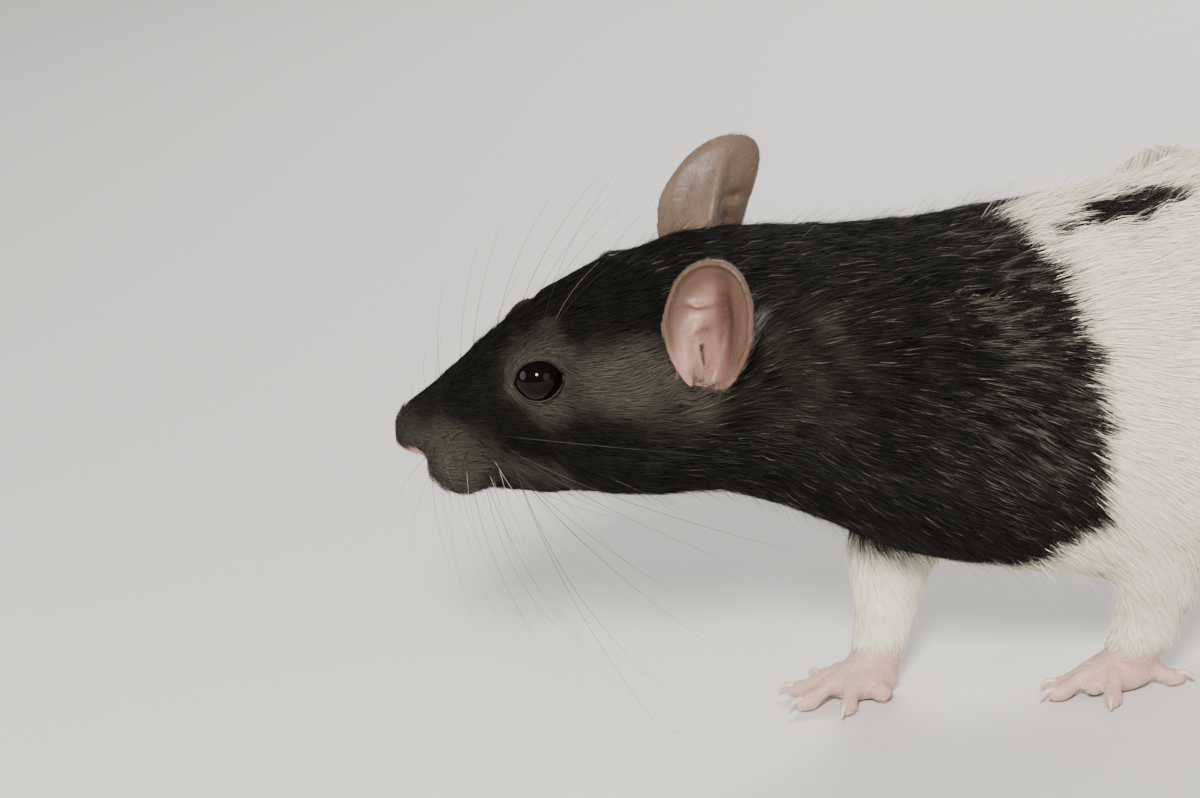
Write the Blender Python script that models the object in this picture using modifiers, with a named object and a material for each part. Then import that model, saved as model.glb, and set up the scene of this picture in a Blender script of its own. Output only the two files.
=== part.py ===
"""A life-size, still model of a hooded pet rat, standing with its neck stretched forward.

Sizes are in millimetres and are turned into metres where a mesh is made. While the animal
is built its nose points along -X, its left side faces -Y and the floor is z = 0. At the end
everything hangs from one empty that centres the model on its own footprint.
"""

import math

import bmesh
import bpy
from mathutils import Matrix, Vector
from mathutils.bvhtree import BVHTree

MM = 0.001
GAP = 0.3                  # clearance between touching pieces
FLAT = 0.25                # how far a foot pad or the tail is flattened on the floor
CENTRE_X = 151.1           # middle of the footprint along the animal, from the build origin
CENTRE_Y = 2.3

# Head: it rolls a little about its long axis, so that its crown leans to the left side.
HEAD_AXIS_Z = 54.0
HEAD_ROLL = math.radians(9.0)
ROLL_FULL_X = 14.0         # the roll is whole in front of this and gone behind ROLL_ENDS_X
ROLL_ENDS_X = 48.0

NOSE_TIP_X = -29.0
EYE_X = -7.9
EYE_Y = 8.2                # from the head's middle plane, in the head's own frame
EYE_Z = 5.6                # above the head's axis
EYE_RADIUS = 3.45
LID_PLACE = 1.5            # the lids' rim is this far out from the eye's middle
LID_THICKNESS = 0.5
MOUTH_AXIS_Z = -7.0
MOUTH_WIDTH = 1.0
# Along the mouth: place along the head, and degrees below level seen from its front
MOUTH = [(-12.0, 22.0), (-14.5, 34.0), (-17.0, 44.0), (-19.5, 54.0), (-21.2, 68.0), (-21.8, 90.0)]
# Rounder parts of the head in its own frame, on both sides: middle, radii and lean in degrees
HEAD_EGGS = {
    "nose_wing": ((-26.1, 1.9, -4.4), (1.9, 1.6, 1.8), 0.0),
    "whisker_pad": ((-19.3, 4.5, -6.9), (5.9, 3.7, 5.4), -14.0),
    "cheek": ((4.5, 9.5, -4.4), (12.5, 6.0, 9.0), -6.0),
    "eye_bulge": ((EYE_X, EYE_Y - 1.3, EYE_Z - 0.7), (5.4, 4.2, 4.0), 0.0),
    "ear_root": ((16.0, 12.0, 4.6), (4.6, 4.2, 5.2), 0.0),
}
NOSE_BALL = ((-26.6, 0.0, -4.1), (2.6, 2.7, 3.1))
NOSTRIL = ((-27.0, 2.9, -5.3), (1.5, 0.7, 0.8))
NOSTRIL_LEAN = math.radians(-34.0)
NOSTRIL_TURN = math.radians(29.0)
JAW = [(-21.0, -10.7, 2.0), (-16.5, -11.2, 3.2), (-9.0, -12.0, 4.5), (2.0, -11.0, 6.2)]   # x, z, radius

# Body outline: name: (x, centre height, half height, half width, fullness of the lower half)
SECTIONS = {
    "nose_tip": (NOSE_TIP_X, 50.6, 0.7, 0.7, 0.0),
    "nose": (-28.0, 50.7, 2.4, 2.3, 0.0),
    "nose_root": (-26.0, 50.6, 3.9, 3.4, 0.0),
    "lips": (-23.5, 50.3, 5.6, 4.6, 0.02),
    "muzzle": (-20.0, 50.6, 7.8, 6.2, 0.05),
    "bridge": (-15.0, 52.0, 10.2, 8.0, 0.08),
    "eyes": (-8.5, 53.15, 13.15, 10.4, 0.10),
    "brow": (-3.0, 53.8, 15.6, 12.2, 0.10),
    "cheeks": (4.0, 54.05, 17.35, 14.0, 0.10),
    "ears": (12.0, 54.8, 18.2, 15.2, 0.10),
    "nape": (18.7, 53.8, 19.4, 16.0, 0.08),
    "neck": (26.0, 51.4, 20.9, 17.0, 0.05),
    "withers": (38.0, 47.2, 23.8, 19.6, 0.04),
    "shoulders": (52.0, 44.8, 25.8, 22.8, 0.05),
    "chest": (65.0, 44.0, 27.4, 24.8, 0.06),
    "ribs": (80.0, 45.0, 27.7, 26.6, 0.08),
    "belly": (98.0, 45.8, 28.6, 28.2, 0.10),
    "loin": (116.0, 46.2, 29.4, 28.4, 0.10),
    "hips": (133.0, 44.8, 28.6, 26.6, 0.08),
    "rump": (149.0, 42.6, 24.4, 22.4, 0.04),
    "croup": (161.0, 39.4, 18.0, 16.0, 0.0),
    "tail_head": (170.0, 35.8, 10.4, 9.2, 0.0),
    "tail_base": (178.0, 32.6, 5.9, 5.8, 0.0),
}
SQUARENESS = 2.2           # 2 is an ellipse, more is boxier
RING_POINTS = 28
SPINE_SWING = 5.0          # the hips stand this far to the right of the shoulders
SPINE_SWING_FROM = 80.0
SPINE_SWING_TO = 176.0
SKULL_END_X = 54.0         # the head's skin is made this far back, and the trunk's from TRUNK_X
TRUNK_X = (8.0, 178.0)
# Bodies that are melted from several pieces: voxel, passes of smoothing and triangles
MELTED = {
    "head": (0.6, 6, 1900),
    "trunk": (1.0, 8, 2900),
    "leg_cutter": (1.0, 3, 260),
    "forepaw": (0.34, 2, 430),
    "hindpaw": (0.36, 2, 470),
}

# Where the body is parted: a point on each cut and the lean of its plane from upright
HEAD_CUT = (20.0, 54.0, math.radians(17.0))
NECK_CUT = (34.5, 47.0, math.radians(19.0))
HOOD_CUT = (69.5, 45.0, math.radians(-8.0))
WAIST_CUT = (103.0, 45.0, math.radians(-6.0))
WRIST_HEIGHT = 7.6
ANKLE_HEIGHT = 11.0

# Fore legs: points down the leg, (x, y, z, radius). The left one trails, the right one leads.
FORE_LEGS = {
    "left": [(62.0, -12.0, 40.0, 13.0), (70.5, -13.0, 28.5, 9.2), (73.0, -11.0, 19.0, 6.4),
             (72.0, -8.6, 11.5, 5.0), (70.3, -7.0, 7.0, 4.2), (69.0, -6.4, 4.6, 3.9)],
    "right": [(46.0, 11.0, 38.0, 13.0), (42.6, 10.0, 28.0, 10.2), (38.6, 8.2, 19.5, 7.0),
              (36.8, 6.6, 12.8, 5.0), (35.2, 5.6, 7.4, 4.1), (34.2, 5.0, 4.8, 3.8)],
}
ARM_CUTTERS = {            # middle, radii and lean of the egg that parts each upper arm
    "left": ((67.5, -15.0, 33.0), (15.5, 13.5, 17.5), math.radians(-20.0)),
    "right": ((43.5, 14.5, 32.0), (14.5, 13.5, 16.5), math.radians(20.0)),
}
SLEEVE = 1.8               # how far each leg's cutter stands off it
ELBOW_CUTS = {             # a point on each cut and its lean from level
    "left": ((71.5, 22.0), math.radians(18.0)),
    "right": ((40.0, 22.5), math.radians(-16.0)),
}
KNEE_CUT = ((123.0, 19.5), math.radians(-14.0))
# Hind legs: hip, knee, ankle and heel, (x, y, z, radius), for the left leg
HIND_LEG = [(137.0, -13.5, 42.0, 15.0), (128.0, -18.0, 33.5, 14.5), (120.0, -20.5, 25.0, 10.4),
            (126.0, -20.2, 16.5, 6.8), (132.8, -19.2, 10.8, 4.8), (136.4, -18.8, 6.4, 4.0)]
HAUNCH = ((131.0, -15.5, 37.5), (20.0, 14.5, 19.5), math.radians(-18.0))
THIGH_CUTTER = ((130.0, -23.0, 36.0), (22.0, 14.0, 20.5), math.radians(-14.0))
HIND_SHIFT = {"left": (0.0, 0.0), "right": (13.0, 4.5)}    # along and across, after mirroring

# Ears: foot, way to the tip, way that the cup opens, length and width
EARS = {
    "left": ((15.2, -15.0, 55.2), (0.08, -0.26, 0.96), (-0.42, -0.90, 0.0), 19.3, 12.3),
    "right": ((15.2, 13.6, 60.2), (0.29, 0.24, 0.93), (-0.30, 0.95, 0.0), 23.4, 12.9),
}
EAR_THICKNESS = 0.9
EAR_DEPTH = 3.6
EAR_FOOT_WIDTH = 0.68      # at the foot, as a share of the ear's width
EAR_TIP_FLATNESS = 0.3
EAR_FOOT_ROLL = 2.8        # how far the edges turn forward at the foot
EAR_TIP_LEAN = 1.6         # how far the tip leans back
EAR_TIP_HOOK = {"left": 0.6, "right": 3.2}     # how far the tip hooks towards the tail
EAR_RINGS = 4
EAR_SPOKES = 22
EAR_HOLLOW = (0.40, 0.42, 3.3)             # half width and half length as shares of the ear's, and depth
EAR_STEM = ((4.6, -3.4), (4.0, 3.6, 4.6))  # up the ear and behind its cup; radii

# Fore paws: middle of the palm, and each toe's heading and reach
PALM_RADII = (5.4, 4.2, 2.9)
PALM_HEIGHT = 2.4
FORE_PAWS = {
    "left": ((67.4, -6.4), {"second": (-184.0, 9.2), "third": (-166.0, 10.0),
                            "fourth": (-108.0, 7.8), "fifth": (-18.0, 8.4)}),
    "right": ((31.8, 3.2), {"second": (-114.0, 7.8), "third": (-160.0, 9.8),
                            "fourth": (-194.0, 10.2), "fifth": (-228.0, 8.4)}),
}
THUMBS = {"left": (-146.0, 4.8), "right": (-60.0, 4.8)}
HIND_PAW = (101.5, -19.0)  # toe tips of the left hind foot, and its middle line
HIND_TOES = {              # place across the ball, heading outwards in degrees, reach
    "first": (-3.0, -24.0, 8.6), "second": (-1.7, -8.0, 11.6), "third": (0.0, 0.0, 12.5),
    "fourth": (1.7, 8.0, 11.8), "fifth": (3.1, 26.0, 9.0),
}
BALL_OF_FOOT = 12.5        # behind the toe tips
# Along the sole: behind the ball of the foot, height and radius
SOLE = [(22.3, 2.7, 3.1), (13.5, 2.6, 3.1), (4.5, 2.6, 3.5), (0.0, 2.4, 3.7)]
HEEL = (21.0, 3.6, 3.4)
WRIST_END = (3.3, 3.0)     # height and radius where the wrist meets the palm
THUMB = ((-3.0, 2.2, 1.8), (0.0, 1.7, 1.5))
# Along a toe: share of its reach, height and radius, from inside the palm to the pad
TOE = ((0.15, 3.0, 1.6), (0.42, 3.3, 1.5), (0.68, 2.5, 1.45), (0.88, 1.2, 1.5), (1.0, 1.0, 1.25))
# Along a claw: how far past the toe, height and radius
CLAW = ((-1.0, 1.8, 0.6), (0.6, 1.9, 0.55), (1.5, 1.4, 0.38), (2.2, 0.6, 0.18))

# Tail: it comes down from the rump and lies on the floor in a gentle bend
TAIL_LENGTH = 176.0
TAIL_ROOT = (170.0, 5.0, 34.5)
TAIL_ROOT_RADIUS = 5.4
TAIL_TIP_RADIUS = 1.0
TAIL_DROP = 56.0           # length of tail that comes down before it lies on the floor
TAIL_SWING = 17.0          # degrees either way
TAIL_LENGTHS = 4
TAIL_TAPER = 1.25          # 1 tapers evenly, and more is thinner along the middle
TAIL_STEP = 3.2
TAIL_FIRST_SHARE = 1.3     # the first length, against each of the others

COLOURS = {                # name: (colour, roughness)
    "black_coat": ((0.020, 0.018, 0.017), 0.55),
    "white_coat": ((0.72, 0.69, 0.60), 0.60),
    "ear_skin": ((0.48, 0.30, 0.26), 0.50),
    "paw_skin": ((0.72, 0.50, 0.44), 0.50),
    "tail_skin": ((0.50, 0.38, 0.34), 0.55),
    "eye": ((0.006, 0.005, 0.006), 0.05),
}
SIDES = {"left": -1.0, "right": 1.0}


def smooth_curve(stops, values, x):
    """A smooth curve through the values at rising stops, level past its ends."""
    if x <= stops[0]:
        return values[0]
    if x >= stops[-1]:
        return values[-1]
    i = max(k for k in range(len(stops) - 1) if stops[k] <= x)
    step = stops[i + 1] - stops[i]

    def slope(k):
        before, after = max(k - 1, 0), min(k + 1, len(stops) - 1)
        return (values[after] - values[before]) / (stops[after] - stops[before])

    t = (x - stops[i]) / step
    return ((2 * t ** 3 - 3 * t ** 2 + 1) * values[i] + (t ** 3 - 2 * t ** 2 + t) * step * slope(i)
            + (3 * t ** 2 - 2 * t ** 3) * values[i + 1] + (t ** 3 - t ** 2) * step * slope(i + 1))


def ease(t):
    t = min(1.0, max(0.0, t))
    return t * t * (3 - 2 * t)


def roll_at(x):
    return HEAD_ROLL * (1 - ease((x - ROLL_FULL_X) / (ROLL_ENDS_X - ROLL_FULL_X)))


def head_point(x, y, z):
    """A point of the head's own frame, turned with the head. Its height is from the head's axis."""
    turn = roll_at(x)
    return Vector((x, y * math.cos(turn) - z * math.sin(turn),
                   HEAD_AXIS_Z + z * math.cos(turn) + y * math.sin(turn)))


def body_ring(x):
    """One cross-section of the body: a soft-cornered oval, a little wider below its middle."""
    rows = list(SECTIONS.values())
    stops = [row[0] for row in rows]
    centre, half_height, half_width, fullness = (
        smooth_curve(stops, [row[k] for row in rows], x) for k in range(1, 5))
    swing = SPINE_SWING * ease((x - SPINE_SWING_FROM) / (SPINE_SWING_TO - SPINE_SWING_FROM))
    ring = []
    for k in range(RING_POINTS):
        angle = 2 * math.pi * k / RING_POINTS
        across = half_width * math.copysign(abs(math.cos(angle)) ** (2 / SQUARENESS), math.cos(angle))
        up = half_height * math.copysign(abs(math.sin(angle)) ** (2 / SQUARENESS), math.sin(angle))
        across *= 1 - fullness * math.sin(angle)
        ring.append(head_point(x, across, up + centre - HEAD_AXIS_Z) + Vector((0.0, swing, 0.0)))
    return ring


def placed(mesh, name):
    thing = bpy.data.objects.new(name, mesh)
    bpy.context.scene.collection.objects.link(thing)
    return thing


def body_loft(name, start, end, step):
    """Skins the body's cross-sections from start to end, and closes both ends."""
    count = round((end - start) / step)
    shape = bmesh.new()
    rows = []
    for k in range(count + 1):
        rows.append([shape.verts.new(point * MM) for point in body_ring(start + (end - start) * k / count)])
    for near, far in zip(rows, rows[1:]):
        for k in range(RING_POINTS):
            after = (k + 1) % RING_POINTS
            shape.faces.new((near[k], near[after], far[after], far[k]))
    shape.faces.new(rows[0])
    shape.faces.new(rows[-1])
    bmesh.ops.recalc_face_normals(shape, faces=shape.faces)
    mesh = bpy.data.meshes.new(name)
    shape.to_mesh(mesh)
    shape.free()
    return placed(mesh, name)


def smooth_path(points, step):
    """Points about a step apart on a smooth curve through (x, y, z, radius) points."""
    marks = [0.0]
    for a, b in zip(points, points[1:]):
        marks.append(marks[-1] + math.dist(a[:3], b[:3]))
    count = max(2, round(marks[-1] / step))
    return [tuple(smooth_curve(marks, [p[axis] for p in points], marks[-1] * k / count)
                  for axis in range(4)) for k in range(count + 1)]


def domed(path):
    """The path with a rounded end added at each end."""
    def dome(end, inner):
        way = (Vector(end[:3]) - Vector(inner[:3])).normalized()
        return [(*(Vector(end[:3]) + way * end[3] * out), end[3] * math.sqrt(1 - out * out))
                for out in (0.5, 0.8, 0.97)]
    return dome(path[0], path[1])[::-1] + list(path) + dome(path[-1], path[-2])


def limb(name, path, roundness=4):
    """A round limb: a bevelled curve along (x, y, z, radius) points, as a closed mesh."""
    curve = bpy.data.curves.new(name, "CURVE")
    curve.dimensions = "3D"
    curve.bevel_depth = MM
    curve.bevel_resolution = roundness
    curve.use_fill_caps = True
    spline = curve.splines.new("POLY")
    spline.points.add(len(path) - 1)
    for point, (x, y, z, radius) in zip(spline.points, path):
        point.co = (x * MM, y * MM, z * MM, 1.0)
        point.radius = radius
    wire = placed(curve, name)
    mesh = bpy.data.meshes.new_from_object(wire.evaluated_get(bpy.context.evaluated_depsgraph_get()))
    bpy.data.objects.remove(wire)
    shape = bmesh.new()
    shape.from_mesh(mesh)
    bmesh.ops.remove_doubles(shape, verts=shape.verts, dist=1e-6)
    bmesh.ops.recalc_face_normals(shape, faces=shape.faces)
    shape.to_mesh(mesh)
    shape.free()
    return placed(mesh, name)


def egg(name, centre, radii, lean=0.0, turn=0.0, roll=0.0, detail=3):
    """An ellipsoid, leaned about Y and turned about Z."""
    bpy.ops.mesh.primitive_ico_sphere_add(subdivisions=detail, radius=MM)
    thing = bpy.context.object
    thing.name = name
    thing.data.transform(
        Matrix.Translation(Vector(centre) * MM) @ Matrix.Rotation(turn, 4, "Z")
        @ Matrix.Rotation(lean, 4, "Y") @ Matrix.Rotation(roll, 4, "X") @ Matrix.Diagonal((*radii, 1.0)))
    return thing


def head_egg(name, centre, radii, lean=0.0, turn=0.0):
    """An ellipsoid given in the head's own frame."""
    return egg(name, head_point(*centre), radii, lean, turn, roll_at(centre[0]))


def modifier(thing, kind, **settings):
    added = thing.modifiers.new(kind.lower(), kind)
    for key, value in settings.items():
        setattr(added, key, value)


def applied(thing):
    """Replaces an object's mesh by what its modifiers make of it."""
    graph = bpy.context.evaluated_depsgraph_get()
    mesh = bpy.data.meshes.new_from_object(thing.evaluated_get(graph))
    thing.modifiers.clear()
    thing.data = mesh
    return thing


def copied(thing, name):
    return placed(thing.data.copy(), name)


def select_only(things):
    for thing in bpy.context.selected_objects:
        thing.select_set(False)
    for thing in things:
        thing.select_set(True)
    bpy.context.view_layer.objects.active = things[0]


def closed_bodies(thing):
    """Splits an object into its separate closed bodies, largest first."""
    select_only([thing])
    bpy.ops.mesh.separate(type="LOOSE")
    return sorted(bpy.context.selected_objects, key=lambda item: -len(item.data.vertices))


def largest_body(thing, name):
    bodies = closed_bodies(thing)
    for scrap in bodies[1:]:
        bpy.data.objects.remove(scrap)
    bodies[0].name = name
    return bodies[0]


def blended(name, pieces, voxel, smoothing, triangles):
    """Melts closed pieces that overlap into one smooth closed body."""
    select_only(pieces)
    bpy.ops.object.join()
    body = bpy.context.object
    modifier(body, "REMESH", mode="VOXEL", voxel_size=voxel * MM)
    modifier(body, "SMOOTH", factor=0.5, iterations=smoothing)
    body = largest_body(applied(body), name)
    count = sum(len(face.vertices) - 2 for face in body.data.polygons)
    modifier(body, "DECIMATE", ratio=min(1.0, triangles / count))
    return applied(body)


def united(name, pieces):
    """One Boolean union of closed pieces into the first of them."""
    first, others = pieces[0], pieces[1:]
    group = bpy.data.collections.new(name + "_pieces")
    for piece in others:
        group.objects.link(piece)
    modifier(first, "BOOLEAN", operand_type="COLLECTION", collection=group, operation="UNION",
             solver="EXACT")
    applied(first)
    for piece in others:
        bpy.data.objects.remove(piece)
    bpy.data.collections.remove(group)
    return largest_body(first, name)


def carved(thing, cutter, operation="DIFFERENCE"):
    modifier(thing, "BOOLEAN", object=cutter, operation=operation, solver="EXACT")
    return applied(thing)


def bored(thing, cutter):
    """Cuts a hole and throws its cutter away."""
    carved(thing, cutter)
    bpy.data.objects.remove(cutter)
    return thing


def swollen(thing, name):
    """A copy of a closed body grown by the gap, to cut a neighbour clear of it."""
    grown = copied(thing, name)
    modifier(grown, "DISPLACE", strength=GAP * MM, mid_level=0.0)
    return applied(grown)


def sliced(thing, point, normal, gap=GAP):
    """Keeps what lies on the side that the normal points to, half a gap clear of the plane."""
    normal = Vector(normal).normalized()
    shape = bmesh.new()
    shape.from_mesh(thing.data)
    result = bmesh.ops.bisect_plane(
        shape, geom=shape.verts[:] + shape.edges[:] + shape.faces[:], dist=1e-7, clear_inner=True,
        plane_co=(Vector(point) + normal * gap / 2) * MM, plane_no=normal)
    rim = [item for item in result["geom_cut"] if isinstance(item, bmesh.types.BMEdge)]
    bmesh.ops.holes_fill(shape, edges=rim)
    bmesh.ops.triangulate(shape, faces=shape.faces)
    shape.to_mesh(thing.data)
    shape.free()
    return thing


def parted(thing, cut, front_name, back_name):
    """Parts a body on a leaning plane into a front and a back piece."""
    x, z, lean = cut
    backward = Vector((math.cos(lean), 0.0, -math.sin(lean)))
    back = sliced(copied(thing, back_name), (x, 0.0, z), backward)
    front = sliced(thing, (x, 0.0, z), -backward)
    return largest_body(front, front_name), largest_body(back, back_name)


def on_floor(thing):
    return sliced(thing, (0.0, 0.0, 0.0), (0.0, 0.0, 1.0), gap=0.0)


def make_head():
    """Skull, muzzle, jaw, pads and nose in one skin."""
    pieces = [body_loft("skull", NOSE_TIP_X, SKULL_END_X, 1.2)]
    pieces.append(limb("jaw", domed([(*head_point(x, 0.0, z), radius) for x, z, radius in JAW])))
    pieces.append(head_egg("nose_ball", *NOSE_BALL))
    for side in SIDES.values():
        for name, ((x, y, z), radii, lean) in HEAD_EGGS.items():
            pieces.append(head_egg(name, (x, side * y, z), radii, lean=math.radians(lean)))
    head = blended("head", pieces, *MELTED["head"])
    for side in SIDES:
        bored(head, ear_hollow(side))
    return head


def with_face(head):
    """Adds the rims of the lids and cuts the eye holes, the nostrils and the mouth."""
    mouth = mouth_groove(head)
    head = united("head", [head] + [lid_ring(side) for side in SIDES.values()])
    for side in SIDES.values():
        bored(head, egg("eye_hole", head_point(EYE_X, side * EYE_Y, EYE_Z), (EYE_RADIUS + GAP,) * 3))
        (x, y, z), radii = NOSTRIL
        bored(head, egg("nostril", head_point(x, side * y, z), radii,
                        lean=NOSTRIL_LEAN, turn=side * NOSTRIL_TURN, detail=2))
    return bored(head, mouth)


def mouth_groove(head):
    """The line of the mouth: a thin tube let into the skin from corner to corner."""
    shape = bmesh.new()
    shape.from_mesh(head.data)
    skin = BVHTree.FromBMesh(shape)
    line = []
    for x, angle in MOUTH + [(x, 180.0 - angle) for x, angle in reversed(MOUTH[:-1])]:
        middle = head_point(x, 0.0, MOUTH_AXIS_Z)
        turn = math.radians(angle)
        way = head_point(x, math.cos(turn), MOUTH_AXIS_Z - math.sin(turn)) - middle
        line.append((*(skin.ray_cast(middle * MM, way)[0] / MM), MOUTH_WIDTH / 2))
    shape.free()
    return limb("mouth", smooth_path(line, 2.0), roundness=1)


def lid_ring(side):
    """The rim of the lids, around the eye where it looks out and a little up."""
    middle = head_point(EYE_X, side * EYE_Y, EYE_Z)
    out = (head_point(EYE_X, side * (EYE_Y + 3.0), EYE_Z + 0.6) - middle).normalized()
    bpy.ops.mesh.primitive_torus_add(major_radius=EYE_RADIUS * MM, minor_radius=LID_THICKNESS * MM,
                                     major_segments=18, minor_segments=5)
    ring = bpy.context.object
    turn = out.to_track_quat("Z", "X").to_matrix().to_4x4()
    ring.data.transform(Matrix.Translation((middle + out * LID_PLACE) * MM) @ turn)
    return ring


def make_eye(name, side):
    middle = head_point(EYE_X, side * EYE_Y, EYE_Z) * MM
    bpy.ops.mesh.primitive_uv_sphere_add(segments=16, ring_count=9, radius=EYE_RADIUS * MM,
                                         location=middle)
    eye = bpy.context.object
    eye.name = name
    return eye


def ear_ways(side):
    """An ear's way to its tip, the way that its cup opens, and the way across it."""
    up, face = Vector(EARS[side][1]).normalized(), Vector(EARS[side][2])
    face = (face - up * face.dot(up)).normalized()
    return up, face, up.cross(face)


def ear_hollow(side):
    """An egg that hollows the head inside the ear's cup."""
    foot, _, _, length, width = EARS[side]
    up, face, across = ear_ways(side)
    wide, high, deep = EAR_HOLLOW
    hollow = egg("ear_hollow", (0.0, 0.0, 0.0), (wide * width, deep, high * length))
    turn = Matrix((across, face, up)).transposed().to_4x4()
    hollow.data.transform(Matrix.Translation((Vector(foot) + up * length / 2) * MM) @ turn)
    hollow.data.flip_normals()
    return hollow


def ear_shell(name, side):
    """A thin cup: narrow and rolled at its foot, wide and flatter towards a round tip."""
    foot, _, _, length, width = EARS[side]
    up, face, across_way = ear_ways(side)
    hook = math.copysign(EAR_TIP_HOOK[side], across_way.x)

    def point(share, angle):
        across, along = share * math.sin(angle), -share * math.cos(angle)
        wide = width / 2 * across * (1 - (1 - EAR_FOOT_WIDTH) * max(0.0, -along))
        deep = (-EAR_DEPTH * (1 - share ** 2) * (1 - EAR_TIP_FLATNESS * along)
                + EAR_FOOT_ROLL * across ** 2 * max(0.0, 0.5 - along)
                - EAR_TIP_LEAN * max(0.0, along) ** 2)
        wide += hook * max(0.0, along) ** 2
        return Vector(foot) + across_way * wide + up * (length * (0.5 + 0.5 * along)) + face * deep

    shape = bmesh.new()
    middle = shape.verts.new(point(0.0, 0.0) * MM)
    rows = []
    for r in range(EAR_RINGS):
        rows.append([shape.verts.new(point((r + 1) / EAR_RINGS, 2 * math.pi * k / EAR_SPOKES) * MM)
                     for k in range(EAR_SPOKES)])
    for k in range(EAR_SPOKES):
        after = (k + 1) % EAR_SPOKES
        shape.faces.new((middle, rows[0][k], rows[0][after]))
        for inner, outer in zip(rows, rows[1:]):
            shape.faces.new((inner[k], outer[k], outer[after], inner[after]))
    bmesh.ops.triangulate(shape, faces=shape.faces)
    mesh = bpy.data.meshes.new(name)
    shape.to_mesh(mesh)
    shape.free()
    shell = placed(mesh, name)
    modifier(shell, "SOLIDIFY", thickness=EAR_THICKNESS * MM, offset=0.0)
    return applied(shell)


def make_ear(name, side, head_clear):
    """The cup on a short root behind it, cut clear of the head."""
    up, face, _ = ear_ways(side)
    (high, deep), radii = EAR_STEM
    stem = egg("stem", Vector(EARS[side][0]) + up * high + face * deep, radii, detail=2)
    ear = united(name, [ear_shell(name, side), stem])
    return largest_body(carved(ear, head_clear), name)


def toe_path(root, heading, reach, stops):
    """Points along a toe or claw that leaves its root under a heading, in degrees."""
    turn = math.radians(heading)
    ahead = Vector((math.cos(turn), math.sin(turn), 0.0))
    return [(*(Vector((*root, height)) + ahead * (reach + out)), radius) for out, height, radius in stops]


def toe_and_claw(root, heading, reach):
    toe = toe_path(root, heading, 0.0, [(share * reach, height, radius) for share, height, radius in TOE])
    claw = toe_path(root, heading, reach, CLAW)
    return (limb("toe", domed(smooth_path(toe, 1.0)), roundness=3),
            limb("claw", claw, roundness=0))


def make_fore_paw(name, side):
    palm, toes = FORE_PAWS[side]
    pieces = [egg("palm", (*palm, PALM_HEIGHT), PALM_RADII)]
    wrist = FORE_LEGS[side][-3:] + [(*palm, *WRIST_END)]
    pieces.append(limb("wrist", domed(smooth_path(wrist, 1.5))))
    pieces.append(limb("thumb", domed(toe_path(palm, *THUMBS[side], THUMB))))
    claws = []
    for heading, reach in toes.values():
        toe, claw = toe_and_claw(palm, heading, reach)
        pieces.append(toe)
        claws.append(claw)
    paw = blended(name, pieces, *MELTED["forepaw"])
    paw = united(name, [paw] + claws)
    sliced(paw, (0.0, 0.0, WRIST_HEIGHT), (0.0, 0.0, -1.0))
    return largest_body(on_floor(paw), name)


def hind_leg(side):
    """The hind leg's path, mirrored and shifted for the right leg."""
    along, across = HIND_SHIFT[side]
    return [(x + along, -SIDES[side] * y + across, z, radius) for x, y, z, radius in HIND_LEG]


def make_hind_paw(name, side):
    """A long sole with five toes, flat on the floor."""
    sign = SIDES[side]
    along, across = HIND_SHIFT[side]
    toe_x, middle = HIND_PAW[0] + along, -sign * HIND_PAW[1] + across
    ball_x = toe_x + BALL_OF_FOOT
    sole = [(ball_x + behind, middle, height, radius) for behind, height, radius in SOLE]
    pieces = [limb("sole", domed(smooth_path(sole, 2.0)))]
    behind, height, radius = HEEL
    ankle = hind_leg(side)[-3:] + [(ball_x + behind, middle, height, radius)]
    pieces.append(limb("ankle", domed(smooth_path(ankle, 1.8))))
    claws = []
    for offset, heading, reach in HIND_TOES.values():
        toe, claw = toe_and_claw((ball_x, middle + sign * offset), 180.0 - sign * heading, reach)
        pieces.append(toe)
        claws.append(claw)
    paw = blended(name, pieces, *MELTED["hindpaw"])
    paw = united(name, [paw] + claws)
    sliced(paw, (0.0, 0.0, ANKLE_HEIGHT), (0.0, 0.0, -1.0))
    return largest_body(on_floor(paw), name)


def make_trunk():
    """Torso and legs down to the wrists and ankles, in one skin."""
    pieces = [body_loft("torso", *TRUNK_X, 3.0)]
    for side in SIDES:
        pieces.append(limb("fore_leg", domed(smooth_path(FORE_LEGS[side], 2.2)), roundness=6))
        pieces.append(limb("hind_leg", domed(smooth_path(hind_leg(side), 2.6)), roundness=6))
        (x, y, z), radii, lean = HAUNCH
        along, across = HIND_SHIFT[side]
        pieces.append(egg("haunch", (x + along, -SIDES[side] * y + across, z), radii, lean))
    return blended("trunk", pieces, *MELTED["trunk"])


def leg_cutter(side, fore):
    """An egg round the top of a leg, with a sleeve round the rest."""
    (x, y, z), radii, lean = ARM_CUTTERS[side] if fore else THIGH_CUTTER
    if not fore:
        x += HIND_SHIFT[side][0]
        y = -SIDES[side] * y + HIND_SHIFT[side][1]
    top = egg("top", (x, y, z), radii, lean)
    path = FORE_LEGS[side] if fore else hind_leg(side)
    sleeve = limb("sleeve", domed(smooth_path([(*p[:3], p[3] + SLEEVE) for p in path[1:]], 3.0)))
    return blended("leg_cutter", [top, sleeve], *MELTED["leg_cutter"])


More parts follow.
